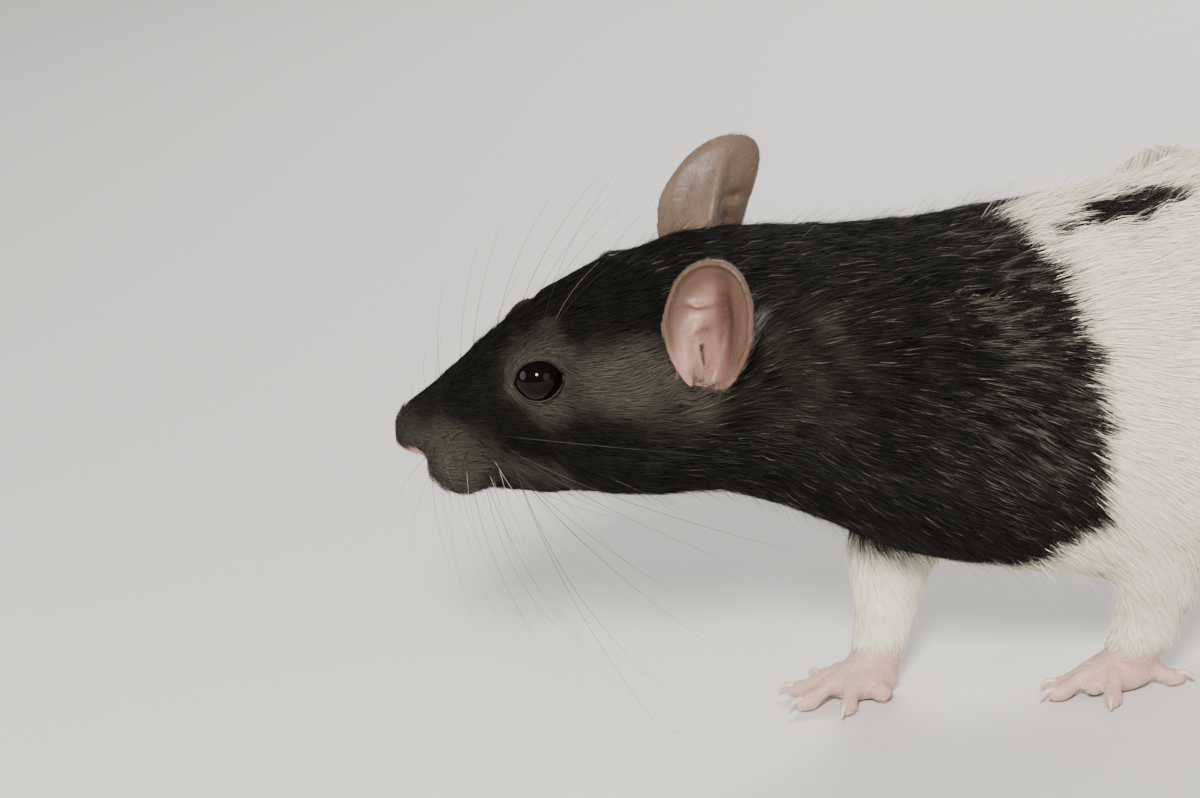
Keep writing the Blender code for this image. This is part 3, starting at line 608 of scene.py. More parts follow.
def eyeFrame(sign):      # middle of the ball, and its ways out, back and up
    x, y, z = rat["eye"]
    outwards, upwards = rat["eyeFaces"]
    middle = np.array(headPoint(x, sign * y, z))
    out = np.array(headPoint(x, sign * (y + outwards), z + upwards)) - middle
    out /= np.linalg.norm(out)
    back = np.array((1.0, 0.0, 0.0)) - out * out[0]
    back /= np.linalg.norm(back)
    return middle, out, back, np.cross(out, back) * -sign


def rimReach(turn):      # how far from the eye's axis the rim of the lids is
    reach = 1 / np.hypot(np.cos(turn) / lids["long"], np.sin(turn) / lids["high"])
    for at, more, wide in lids["corners"]:
        off = (turn - at + math.pi) % (2 * math.pi) - math.pi
        reach = reach + more * np.exp(-(off / wide) ** 2)
    return reach


def rimLevel(reach):
    return np.sqrt(np.maximum(lids["over"] ** 2 - reach ** 2, 0.35))


def rimLine(sign, steps=72):
    middle, out, back, up = eyeFrame(sign)
    turn = np.linspace(0, 2 * math.pi, steps + 1)
    reach = rimReach(turn)
    return (middle + back * (reach * np.cos(turn))[:, None] + up * (reach * np.sin(turn))[:, None]
            + out * rimLevel(reach)[:, None])


def fleshPieces():      # copies of the plain solids, and finer forms where the skin is bare
    pieces = []
    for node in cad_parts:
        if node.startswith("eye") or partOf(node) in ("forepaw", "hindpaw", "ear", "tail"):
            continue
        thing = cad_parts[node].copy()
        thing.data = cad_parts[node].data.copy()
        thing.parent = None
        for key in [k for k in thing.keys() if k.startswith("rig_")]:
            del thing[key]
        thing.hide_render = False
        bpy.context.scene.collection.objects.link(thing)
        pieces.append(thing)
    for side in sides:
        pieces += makeEar(side) + makeForePaw(side) + makeHindPaw(side)
    pieces.append(tube("tail", domed(tailLine), 10))
    for sign in sides.values():
        middle, out, _, _ = eyeFrame(sign)
        radius, sunk = skin["socket"]
        pieces.append(egg("socket", middle - out * sunk, (radius, radius, radius)))
    return pieces


def meltTogether(pieces):
    for thing in pieces:
        selectOnly(thing)
        bpy.ops.object.mode_set(mode="EDIT")
        bpy.ops.mesh.select_all(action="SELECT")
        bpy.ops.mesh.remove_doubles(threshold=1e-6)
        bpy.ops.mesh.normals_make_consistent(inside=False)
        bpy.ops.object.mode_set(mode="OBJECT")
        swell = thing.modifiers.new("swell", "DISPLACE")
        swell.strength, swell.mid_level = skin["swell"] * mm, 0.0
        applyAll(thing)
        thing.data.materials.clear()
    body = joined(pieces, "skin")
    body.data.name = "skin"
    remesh = body.modifiers.new("remesh", "REMESH")
    remesh.mode, remesh.voxel_size = "VOXEL", skin["voxel"] * mm
    soften = body.modifiers.new("soften", "SMOOTH")
    soften.factor, soften.iterations = 0.5, 3
    return applyAll(body)


def meshArrays(thing):
    mesh = thing.data
    points = np.empty(len(mesh.vertices) * 3)
    mesh.vertices.foreach_get("co", points)
    normals = np.empty(len(mesh.vertices) * 3)
    mesh.vertex_normals.foreach_get("vector", normals)
    edges = np.empty(len(mesh.edges) * 2, np.int64)
    mesh.edges.foreach_get("vertices", edges)
    return points.reshape(-1, 3) / mm - fromPart, normals.reshape(-1, 3), edges.reshape(-1, 2)


def spread(values, edges, passes):      # evens a value out over its neighbours
    values = values.astype(float)
    count = np.bincount(edges.ravel(), minlength=len(values)).astype(float)
    flat = values.reshape(len(values), -1)
    for _ in range(passes):
        total = flat.copy()
        for axis in range(flat.shape[1]):
            total[:, axis] += np.bincount(edges[:, 0], flat[edges[:, 1], axis], len(flat))
            total[:, axis] += np.bincount(edges[:, 1], flat[edges[:, 0], axis], len(flat))
        flat = total / (count[:, None] + 1)
    return flat.reshape(values.shape)


def nearestPart(points):      # which part of the body each point belongs to
    marks, names = [], []
    for node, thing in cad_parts.items():
        if not node.startswith("eye"):
            corners = meshArrays(thing)[0]
            faces = np.array([f.vertices for f in thing.data.polygons])
            marks += [corners, corners[faces].mean(1)]
            names += [partNames.index(partOf(node))] * (len(corners) + len(faces))
    tree = treeOf(np.concatenate(marks))
    return np.array([names[tree.find(p)[1]] for p in points])


def eyeDistance(points):      # from the middle of the nearer eye
    return np.min([np.linalg.norm(points - eyeFrame(sign)[0], axis=1) for sign in sides.values()], axis=0)


def lidDistance(points):      # from the line of the lids' rim, and 99 where that is far away
    near = np.full(len(points), 99.0)
    close = np.nonzero(eyeDistance(points) < lids["near"])[0]
    for sign in sides.values():
        away = np.linalg.norm(points[close][:, None] - rimLine(sign)[None], axis=2).min(1)
        near[close] = np.minimum(near[close], away)
    return near


# in the head's frame: middle and radii, between the nostrils, round each nostril, and down to the lip
bareNosePatches = (((-28.6, 0.0, -5.8), (1.2, 1.3, 1.0)), ((-26.4, 1.9, -6.2), (1.9, 1.2, 1.1)),
                   ((-26.0, 0.0, -7.6), (2.0, 0.9, 1.6)))


def bareNose(points):      # 1 on the bare tip of the nose
    head = inHead(points)
    head[:, 1] = np.abs(head[:, 1])
    near = np.full(len(points), 9.0)
    for middle, radii in bareNosePatches:
        near = np.minimum(near, np.linalg.norm((head - np.array(middle)) / np.array(radii), axis=1))
    return ease((1.25 - near) / 0.4)


def clearCups(body):      # the head's skin is let in behind each ear's cup
    points, _, _ = meshArrays(body)
    limit, edge, deepest = ear["clear"]
    for side, sign in sides.items():
        across, along, deep = inEar(side, points)
        share = np.sqrt(across ** 2 + along ** 2)
        cupFloor = earDepth(across, along) + ear["thickness"] / 2 + skin["swell"]
        inside = (share < limit) & (points[:, 1] * sign > 0) & (deep > cupFloor) & (deep < cupFloor + deepest)
        drop = np.where(inside, (cupFloor - deep) * ease((limit - share) / edge), 0.0)
        points += earFrame(side)[2] * drop[:, None]
    setPoints(body, points)
    body.data.update()
    return body


def roundEye(sign, points):      # offset, height, distance off the axis, share of the opening, if in front
    middle, out, back, up = eyeFrame(sign)
    off = points - middle
    level, u, v = off @ out, off @ back, off @ up
    wide = np.hypot(u, v)
    front = (level > lids["behind"]) & (wide < lids["near"])
    return off, level, wide, wide / rimReach(np.arctan2(v, u)), front


def openLids(body):      # the skin wraps over the ball up to the rim, and lies under the ball inside it
    points, _, _ = meshArrays(body)
    for sign in sides.values():
        middle, out, _, _ = eyeFrame(sign)
        off, level, wide, share, front = roundEye(sign, points)
        hold = ease((lids["reach"] - share) / (lids["reach"] - lids["tight"])) * (front & (share >= 1))
        points += out * (hold * (rimLevel(wide) - level))[:, None]
        inside = front & (share < 1)
        far = np.linalg.norm(off, axis=1)
        points[inside] = (middle + off / far[:, None] * np.minimum(far, lids["under"])[:, None])[inside]
    setPoints(body, points)
    body.data.update()


def coatDepth(points, part, edges):
    onHead = part == partNames.index("head")
    atNose, gain = skin["headDepth"]
    ahead, over = skin["toNape"]
    depth = np.array([bodyParts[name][0] for name in partNames])[part]
    depth = np.where(onHead, atNose + gain * ease((inHead(points)[:, 0] + ahead) / over), depth)
    depth = spread(depth, edges, skin["depthPasses"])
    gap, further = skin["eyeGap"]
    depth *= ease((eyeDistance(points) - gap) / further)
    depth *= 1 - bareNose(points) * onHead
    depth[np.isin(part, [partNames.index(n) for n in ("ear", "tail")])] = 0.0
    return depth


def markFurry(body, depth):      # a group for the skin under deep fur, in ten steps of weight
    least, over = skin["furry"]
    steps = np.round(ease((depth - least) / over) * 10).astype(int)
    group = body.vertex_groups.new(name="furry")
    for step in range(1, 11):
        group.add(np.nonzero(steps == step)[0].tolist(), step / 10, "REPLACE")


def evenKinks(body):      # tufts would stand up on kinks under the fur
    points, _, edges = meshArrays(body)
    weights = np.array([max((held.weight for held in v.groups), default=0.0) for v in body.data.vertices])
    shift = spread(points, edges, 2) - points
    shift -= spread(shift, edges, 3)
    shift *= np.minimum(1, skin["kink"] / (np.linalg.norm(shift, axis=1) + 1e-6))[:, None]
    points += shift * ease((weights - 0.5) / 0.4)[:, None]
    setPoints(body, points)
    body.data.update()


def shapeSkin(body):
    points, normals, edges = meshArrays(body)
    depth = coatDepth(points, nearestPart(points), edges)
    points = points - normals * (depth + skin["swell"])[:, None]
    points[:, 2] = np.maximum(points[:, 2], rat["floor"] + skin["overFloor"])
    setPoints(body, points)
    markFurry(body, depth)
    even = body.modifiers.new("even", "SMOOTH")
    even.factor, even.iterations, even.vertex_group = 0.5, skin["evenPasses"], "furry"
    applyAll(body)
    count = sum(len(face.vertices) - 2 for face in body.data.polygons)
    fewer = body.modifiers.new("fewer", "DECIMATE")
    fewer.ratio = min(1.0, skin["triangles"] / count)
    fewer.vertex_group, fewer.vertex_group_factor = "furry", 1.0
    applyAll(body)
    evenKinks(body)
    body.vertex_groups.clear()
    openLids(body)
    bpy.ops.object.shade_smooth()
    return body


skinPiece = shapeSkin(clearCups(meltTogether(fleshPieces())))
print("skin:", len(skinPiece.data.vertices), "points")

# the same markings for skin and coat
markings = {
    # height on the flank, and how far back the black hood reaches there
    "hoodEdge": ((10.0, 47.0), (17.0, 49.5), (24.0, 54.0), (29.6, 60.4), (33.0, 63.0), (40.0, 63.2), (47.5, 64.6),
                 (55.0, 64.2), (64.5, 60.6), (68.5, 57.6), (71.0, 54.6), (74.0, 53.5)),
    "ragged": 1.5,
    "edgeSoft": 1.6,
    "armWhite": (21.5, 25.5),             # heights over which a fore leg turns from white to black
    # along the spine: middle along, middle across, half length, half width
    "streaks": ((70.6, -7.2, 10.8, 4.0), (94.0, -3.4, 5.5, 2.4), (108.0, -1.0, 4.6, 3.2), (124.0, 2.2, 8.5, 3.6),
                (143.0, 4.6, 6.5, 3.0), (156.0, 5.0, 4.0, 2.2)),
    "spineHeight": 45,                    # the streaks are only above this
    "paintedSheen": (56.5, 8.0),                 # painted sheen: where along the hood most hairs are silvery, standing in for a highlight band, and how far round it
    "paintedSheenFrom": (28, 20),                # from this height up, and whole this much higher
    "silverHairsAndGlints": (0.10, 0.70),               # share of silvery hairs anywhere, partly real grey hairs and partly painted glints, and added in the painted sheen
    "faceEnds": 40,                       # no grey hair behind this
    # lighter grey-brown hair, in the head's frame: share, middle and radii
    "greyPatches": ((0.75, rat["eye"], (5.2, 6.0, 5.2)), (0.80, (2.5, 11.5, 5.0), (9.0, 6.0, 4.2)),
                    (0.55, (10.0, 13.5, 2.0), (7.0, 6.0, 4.5)), (0.14, (26.0, 15.0, 4.0), (9.0, 8.0, 9.0)),
                    (0.95, (-21.5, 4.5, -6.5), (5.5, 4.0, 5.0)), (0.60, (-27.0, 0.0, -4.0), (3.0, 3.5, 3.5)),
                    (0.45, (-12.0, 6.0, -9.5), (9.0, 4.5, 3.5))),
}


def hoodMask(points, onArm):
    heights, reach = np.array(markings["hoodEdge"]).T
    edge = np.interp(points[:, 2], heights, reach) + markings["ragged"] * softNoise(points, 5.0, 3)
    black = ease((edge - points[:, 0]) / markings["edgeSoft"] + 0.5)
    low, high = markings["armWhite"]
    white = ease((high + 2 * softNoise(points, 6.0, 4) - points[:, 2]) / (high - low)) * onArm
    black *= 1 - white
    ragged = 0.34 * softNoise(points, 3.2, 5)
    for x, y, halfLong, halfWide in markings["streaks"]:
        away = np.sqrt(((points[:, 0] - x) / halfLong) ** 2 + ((points[:, 1] - y) / halfWide) ** 2)
        streak = ease((0.95 - away + ragged) / 0.4) * (points[:, 2] > markings["spineHeight"])
        black = np.maximum(black, streak)
    return black


bareLook = {
    "paw": (0.46, 0.315, 0.265),
    "tail": (0.42, 0.31, 0.27),
    "tailFrom": 168,
    "nose": (0.34, 0.19, 0.17),
    "lid": (0.022, 0.016, 0.014),
    "earBack": (0.112, 0.078, 0.055),
    "earInside": (0.23, 0.130, 0.110),
    "earRim": (0.090, 0.056, 0.039),
    # painted shade: the recessed groove of the ear's cup is darkened where shadow falls in it
    "earGrooveShade": (0.045, 0.018, 0.014),
    "earLobe": (0.38, 0.245, 0.205),
}


def greyMask(points):      # round the eyes, on the cheeks and at the whiskers
    head = inHead(points)
    x, y, z = head[:, 0], np.abs(head[:, 1]), head[:, 2]
    grey = np.zeros(len(points))
    for share, (cx, cy, cz), (rx, ry, rz) in markings["greyPatches"]:
        away = np.sqrt(((x - cx) / rx) ** 2 + ((y - cy) / ry) ** 2 + ((z - cz) / rz) ** 2)
        grey = np.maximum(grey, share * ease((1.6 - away) / 1.3))
    grey = np.clip(grey + 0.10 * softNoise(points, 3.0, 7) * (grey > 0.05), 0, 1)
    return grey * (points[:, 0] < markings["faceEnds"])


def bareColour(points, normals):      # skin without fur: paws, tail, nose, lids, and the ears with their folds, with painted shade in the ear's groove
    tint = np.tile(np.array(bareLook["paw"], float), (len(points), 1))

    def lay(share, name):
        tint[:] = tint + (np.array(bareLook[name]) - tint) * np.clip(share, 0, 1)[:, None]
    lay(ease((points[:, 0] - bareLook["tailFrom"]) / 8) * (points[:, 2] < 40), "tail")
    lay(isPart("head").astype(float), "nose")
    lay((eyeDistance(points) < 7).astype(float), "lid")
    for side, sign in sides.items():
        mine = isPart("ear") & (points[:, 1] * sign > 0)
        across, along, _ = inEar(side, points)
        front = ease((normals @ earFrame(side)[2] + 0.1) / 0.4)
        rim = ease((np.hypot(across, along) - 0.42) / 0.34) * ease((along + 0.55) / 0.4)
        backRim = ease((across - 0.16) / 0.22) * ease((along + 0.75) / 0.3)
        folds = {name: earFold(name, across, along, wider)
                 for name, wider in (("backFold", 1.6), ("groove", 1.7), ("lobe", 1), ("bump", 1), ("line", 1))}
        lay(mine * 1.0, "earBack")
        lay(mine * front, "earInside")
        lay(mine * front * rim, "earRim")
        lay(mine * front * backRim * 0.85, "earRim")
        lay(mine * front * folds["backFold"] * 0.8, "earRim")
        # painted shade in the recessed groove of the cup
        lay(mine * front * folds["groove"] * 0.95, "earGrooveShade")
        lay(mine * front * folds["lobe"] * 0.7, "earLobe")
        lay(mine * front * np.maximum(folds["bump"], folds["line"]) * 0.7, "earLobe")
    return tint


def writeColour(mesh, name, values):
    made = mesh.color_attributes.new(name, "FLOAT_COLOR", "POINT")
    made.data.foreach_set("color", values.astype(np.float32).ravel())


fields = SimpleNamespace()      # values at each point of the skin, which the coat is grown from
fields.points, fields.normals, fields.edges = meshArrays(skinPiece)
fields.part = nearestPart(fields.points)
growth = {      # how the tufts change over the head and near bare skin
    "toNape": (29, 42),
    "length": (1.5, 3.9), "width": (0.075, 0.04), "density": (34, -18),      # at the nose, and gained to the nape
    "pads": ((-20.0, 0.0, -8.0), (7.0, 8.0, 5.5)),      # middle and radii of the whisker pads
    "padLonger": 0.6, "padThinner": 0.012, "padLift": 9,
    "atEye": (0.42, 0.58),        # share of their length at the eye, and gained away from it
    "eyeBand": (3.7, 3.6),
    "rimBand": (0.16, 0.2),       # none within this distance of the lids' rim, and all of them this much further
    "cupBare": 0.95,
    "soleHeight": 0.6,
    # the coat parts round an eye: how near, over how much, always, and more where it runs against the eye
    "parting": (7.5, 3.2, 0.06, 0.8),
    "up": 0.42, "down": 0.34,     # turn of the coat along the back and towards the belly
    "flank": (45, 25),
}


def isPart(*names):
    return np.isin(fields.part, [partNames.index(n) for n in names])


def claimCups():      # the head's skin at the bottom of a cup is the ear's
    limit, atFoot, near = ear["claimed"]
    for side, sign in sides.items():
        across, along, deep = inEar(side, fields.points)
        inside = np.hypot(across, along) < limit + atFoot * ease(-along)
        inside &= (np.abs(deep - earDepth(across, along)) < near) & (fields.points[:, 1] * sign > 0)
        inside &= fields.normals @ earFrame(side)[2] > -0.1
        fields.part[inside] = partNames.index("ear")


def layOfCoat():
    way = np.array([bodyParts[name][5] for name in partNames], float)[fields.part]
    middle, over = growth["flank"]
    height = (fields.points[:, 2] - middle) / over
    turn = np.where(height > 0, growth["up"], growth["down"]) * height
    way[:, 2] += np.where(isPart("neck", "shoulders", "ribs", "hips"), turn, 0.0)
    onTail = isPart("tail")
    way[onTail] = tailWays[nearestOnTail(fields.points[onTail])]
    way[isPart("ear")] = bodyParts["head"][5]
    way = spread(unit(way), fields.edges, 40)
    reach, over, always, against = growth["parting"]
    for sign in sides.values():      # it parts in front of each eye and closes again behind
        off = fields.points - eyeFrame(sign)[0]
        far = np.linalg.norm(off, axis=1)
        aside = unit(laidFlat(off / far[:, None], fields.normals), 1e-6)
        towards = np.minimum(0, np.sum(way * aside, axis=1))
        way += aside * (ease((reach - far) / over) * (always - against * towards))[:, None]
    for side, sign in sides.items():
        way[isPart("ear") & (fields.points[:, 1] * sign > 0)] = earFrame(side)[1]
    way = spread(laidFlat(way, fields.normals), fields.edges, 6)
    return unit(way, 1e-9)


def sizesOfTufts():
    fields.length, fields.width, fields.lift, fields.density = (
        spread(np.array([bodyParts[name][k] for name in partNames], float)[fields.part], fields.edges, 25)
        for k in (1, 2, 3, 4))
    head = inHead(fields.points)
    onHead = isPart("head")
    ahead, over = growth["toNape"]
    toNape = ease((head[:, 0] + ahead) / over)
    middle, radii = growth["pads"]
    onPad = onHead * ease(1.5 - np.linalg.norm((head - middle) / radii, axis=1))
    for name in ("length", "width", "density"):
        atNose, gain = growth[name]
        setattr(fields, name, np.where(onHead, atNose + gain * toNape, getattr(fields, name)))
    fields.length += growth["padLonger"] * onPad
    fields.width -= growth["padThinner"] * onPad
    fields.lift = fields.lift + growth["padLift"] * onPad
    (least, gain), (near, over) = growth["atEye"], growth["eyeBand"]
    fields.length *= least + gain * ease((eyeDistance(fields.points) - near) / over)
    fields.length, fields.width, fields.density = (
        spread(v, fields.edges, 8) for v in (fields.length, fields.width, fields.density))


def thinOut():      # no tufts on soles, nose and lids, and few in the ears' cups
    fields.nose = bareNose(fields.points) * isPart("head")
    cup = np.zeros(len(fields.points))
    for side, sign in sides.items():
        cup = np.where(isPart("ear") & (fields.points[:, 1] * sign > 0), fields.normals @ earFrame(side)[2], cup)
    cup = spread(np.clip(cup, 0, 1), fields.edges, 2)
    fields.density[isPart("forepaw", "hindpaw") & (fields.points[:, 2] < growth["soleHeight"])] = 0.0
    fields.density *= 1 - fields.nose
    gap, over = growth["rimBand"]
    fields.density *= ease((lidDistance(fields.points) - gap) / over)
    fields.density *= 1 - growth["cupBare"] * cup
    fields.onArm = spread(isPart("forearm", "forepaw", "upper_arm").astype(float), fields.edges, 10)
    bare = spread(isPart("forepaw", "hindpaw", "tail", "ear").astype(float), fields.edges, 3)
    fields.bare = np.maximum(ease((bare - 0.35) / 0.4), fields.nose)


def finishSkin():
    black = hoodMask(fields.points, fields.onArm)
    shade = 0.5 + 0.2 * softNoise(fields.points, 1.2, 9)
    dark = ease((0.75 - lidDistance(fields.points)) / 0.3)
    masks = np.stack((black, greyMask(fields.points), np.maximum(fields.bare, dark), shade), 1)
    tint = bareColour(fields.points, fields.normals)
    onTail = isPart("tail")
    tailPlace = np.zeros((len(fields.points), 3))
    along, around = alongTail(fields.points[onTail])
    tailPlace[onTail] = np.stack((along, around, np.ones(len(along))), 1)
    mesh = skinPiece.data
    writeColour(mesh, "coatMasks", masks)
    writeColour(mesh, "bareTint", np.column_stack((tint, np.ones(len(tint)))))
    made = mesh.attributes.new("tailPlace", "FLOAT_VECTOR", "POINT")
    made.data.foreach_set("vector", tailPlace.astype(np.float32).ravel())


claimCups()
fields.way = layOfCoat()
sizesOfTufts()
thinOut()
print("lie of the coat is worked out")


colours = {
    "black": (0.0036, 0.0034, 0.0030, 1),
    "blackTip": (0.0112, 0.0106, 0.0092, 1),
    "grey": (0.082, 0.070, 0.056, 1),
    "white": (0.80, 0.77, 0.64, 1),
    "whiteRoot": (0.70, 0.665, 0.54, 1),
    "flush": (1.0, 0.80, 0.76, 1),      # tints bare skin where it is redder
    "underBlack": (0.35, 0.35, 0.35, 1),
    "down": (0.70, 0.64, 0.56, 1),
    "darkDown": (0.085, 0.068, 0.055, 1),
}


def newGroup(name, inputs, outputs):
    group = bpy.data.node_groups.new(name, "ShaderNodeTree")
    for label, kind in inputs:
        group.interface.new_socket(label, in_out="INPUT", socket_type=kind)
    for label, kind in outputs:
        group.interface.new_socket(label, in_out="OUTPUT", socket_type=kind)
    return group, group.nodes.new("NodeGroupInput"), group.nodes.new("NodeGroupOutput")


def coatPatternGroup():      # black hood, grey face and cream coat from the piece's masks
    group, given, out = newGroup("coatPattern", [("Masks", "NodeSocketColor"), ("Shade", "NodeSocketFloat")],
                                 [("Colour", "NodeSocketColor"), ("Bare", "NodeSocketFloat"),
                                  ("Black", "NodeSocketFloat")])
    parts = group.nodes.new("ShaderNodeSeparateColor")
    group.links.new(given.outputs["Masks"], parts.inputs["Color"])
    white = mixColour(group, given.outputs["Shade"], colours["whiteRoot"], colours["white"])
    black = mixColour(group, given.outputs["Shade"], colours["black"], colours["blackTip"])
    hood = mixColour(group, parts.outputs["Green"], black, colours["grey"])
    coat = mixColour(group, parts.outputs["Red"], white, hood)
    group.links.new(coat, out.inputs["Colour"])
    group.links.new(parts.outputs["Blue"], out.inputs["Bare"])
    group.links.new(parts.outputs["Red"], out.inputs["Black"])
    return group


coatPattern = coatPatternGroup()


def patternNode(tree):
    masks = attributeOn(tree, "coatMasks")
    node = tree.nodes.new("ShaderNodeGroup")
    node.node_tree = coatPattern
    tree.links.new(masks.outputs["Color"], node.inputs["Masks"])
    tree.links.new(masks.outputs["Alpha"], node.inputs["Shade"])
    return node, masks


skinLook = {
    "roughness": (0.95, 0.5),     # under the fur, and how much less where it is bare
    "specular": 0.30,
    "subsurface": (0.12, 0.0008, (1.0, 0.45, 0.30)),
    "blotchScale": 260.0,
    "cells": (1900.0, 0.6),
    "hairScale": 900.0,
    "hairStretch": (0.12, 1, 1),      # hair under the tufts is drawn out along the body
    # strength and depth in mm of the relief
    "bareRelief": (0.3, 0.14), "ringRelief": (0.6, 0.14), "hairRelief": (0.25, 0.2),
}


def skinMaterial():
    weight, scale, radius = skinLook["subsurface"]
    made, tree, shader = newMaterial("ratSkin", Subsurface_Weight=weight, Subsurface_Scale=scale,
                                     Subsurface_Radius=radius, Specular_IOR_Level=skinLook["specular"])
    plain, dark = (1.0, 1.0, 1.0, 1), (0.0, 0.0, 0.0, 1)
    pattern, _ = patternNode(tree)
    bareShare = pattern.outputs["Bare"]
    blotch = noiseOn(tree, skinLook["blotchScale"], 3.0)
    pink = tinted(tree, attributeOn(tree, "bareTint").outputs["Color"],
                  mixColour(tree, blotch, colours["flush"], plain))
    hair = noiseOn(tree, skinLook["hairScale"], 2.0, skinLook["hairStretch"])
    coat = mixColour(tree, maths(tree, "MULTIPLY", hair, 0.5), pattern.outputs["Colour"], dark)
    coat = tinted(tree, coat, mixColour(tree, pattern.outputs["Black"], plain, colours["underBlack"]))
    tree.links.new(mixColour(tree, bareShare, coat, pink), shader.inputs["Base Color"])
    scale, share = skinLook["cells"]
    cells = tree.nodes.new("ShaderNodeTexVoronoi")
    cells.inputs["Scale"].default_value = scale
    tree.links.new(objectPlace(tree), cells.inputs["Vector"])
    fine = maths(tree, "ADD", maths(tree, "MULTIPLY", cells.outputs["Distance"], share), blotch)
    place = tree.nodes.new("ShaderNodeSeparateXYZ")
    tree.links.new(attributeOn(tree, "tailPlace").outputs["Vector"], place.inputs["Vector"])
    rings = maths(tree, "SINE", maths(tree, "MULTIPLY", place.outputs["X"], 2 * math.pi / tail["ringGap"]))
    rings = maths(tree, "MULTIPLY", rings, place.outputs["Z"])
    relief = bumpFrom(tree, maths(tree, "MULTIPLY", fine, bareShare), *skinLook["bareRelief"])
    relief = bumpFrom(tree, rings, *skinLook["ringRelief"], relief)
    tree.links.new(bumpFrom(tree, hair, *skinLook["hairRelief"], relief), shader.inputs["Normal"])
    furred, less = skinLook["roughness"]
    tree.links.new(maths(tree, "SUBTRACT", furred, maths(tree, "MULTIPLY", bareShare, less)),
                   shader.inputs["Roughness"])
    return made


def coatMaterial():
    made, tree, shader = newMaterial("ratCoat", Roughness=0.42, Specular_IOR_Level=0.05)
    pattern, masks = patternNode(tree)
    parts = tree.nodes.new("ShaderNodeSeparateColor")
    tree.links.new(masks.outputs["Color"], parts.inputs["Color"])
    down = mixColour(tree, parts.outputs["Green"], colours["down"], colours["darkDown"])
    tree.links.new(mixColour(tree, pattern.outputs["Bare"], pattern.outputs["Colour"], down),
                   shader.inputs["Base Color"])
    return made


skinPiece.data.materials.append(skinMaterial())
coatPaint = coatMaterial()
print("skin and coat materials are made")


coat = {
    "seed": 21,
    "most": 1400000,              # triangles of all the tufts
    "sunk": 0.12,                 # how far a root starts under the skin
    "middleOver": 0.16, "tipOver": 0.30,      # least height over the skin half way along and at the tip
    "overFloor": 0.03,
    "taper": 0.72,                # width half way along, as a share of the width at the root
    "roll": 0.9,                  # radians that a tuft turns about its own length, either way
    "lockSize": 40,               # tufts that lean together
    "clump": 0.22,
    "clumpReach": 1.2,
    "drift": (0.13, 9.0, 0.06, 3.0, 0.09),      # a wide wave and a fine one, each with its length, and chance
    "guard": (0.12, 1.15, 0.8, 5.0),      # share of long hairs, their length and width, and more lift in degrees
    "stray": (0.045, 1.3, 0.5, (14, 40)),      # the same for fine hairs that stand out of the coat
    "strayFrom": 1.5,             # none where the tufts are shorter
    "patch": 0.003,               # width of a tuft's patch of the map
    "lidGap": 0.2,
    "cupLimits": (0.98, 0.82, 7),      # other hair keeps its roots and tips out of this share of a cup, so deep
    "earBrown": (0.78, 0.22),
}
trunkCoats = {      # name: from and to along the body, and the slot
    "coatMuzzle": (-40, -6, "black_coat"), "coatFace": (-6, 9, "black_coat"), "coatHead": (9, 24, "black_coat"),
    "coatNeck": (24, 42, "black_coat"), "coatShoulders": (42, 59, "black_coat"),
    "coatChest": (59, 77, "white_coat"), "coatRibs": (77, 97, "white_coat"), "coatFlanks": (97, 117, "white_coat"),
    "coatHaunches": (117, 138, "white_coat"), "coatRump": (138, 190, "white_coat"),
}
# along the body, and the height of its middle there
bodyLine = ((-29, 50.6), (-15, 52), (4, 54.2), (20, 53.5), (38, 47.2), (65, 44), (98, 45.8), (133, 44.8),
            (161, 39.4), (178, 32.6))


def growRoots():
    mesh = skinPiece.data
    mesh.calc_loop_triangles()
    corners = np.empty(len(mesh.loop_triangles) * 3, np.int64)
    mesh.loop_triangles.foreach_get("vertices", corners)
    corners = corners.reshape(-1, 3)
    a, b, c = (fields.points[corners[:, k]] for k in range(3))
    area = np.linalg.norm(np.cross(b - a, c - a), axis=1) / 2
    wanted = area * fields.density[corners].mean(1)
    total = wanted.sum()
    count = int(min(total, coat["most"] / 3))
    print("coat: skin area", round(area.sum()), "mm2, tufts wanted", round(total), "grown", count)
    draw = np.random.default_rng(coat["seed"])
    chosen = np.searchsorted(np.cumsum(wanted) / total, draw.random(count))
    chosen = np.minimum(chosen, len(corners) - 1)
    u, v = draw.random(count), draw.random(count)
    flip = u + v > 1
    u[flip], v[flip] = 1 - u[flip], 1 - v[flip]
    weights = np.stack((1 - u - v, u, v), 1)

    def at(values):
        return np.einsum("nk,nk...->n...", weights, values[corners[chosen]])
    roots = {name: at(getattr(fields, name))
             for name in ("points", "normals", "way", "length", "width", "lift", "bare", "onArm")}
    roots["part"] = fields.part[corners[chosen, 0]]
    return roots, draw


def overSkin(spots, tree, least, furry):      # lifts the spots that the skin would bury, as in a hollow
    nearest = np.array([tree.find(p)[1] for p in spots])
    height = np.sum((spots - fields.points[nearest]) * fields.normals[nearest], axis=1)
    return spots + fields.normals[nearest] * (np.maximum(0, least - height) * furry)[:, None]


def halfTuft(way, normals, lift, length):      # half a tuft's length, at a lift off the skin
    return (way * np.cos(lift)[:, None] + normals * np.sin(lift)[:, None]) * (length * 0.5)[:, None]


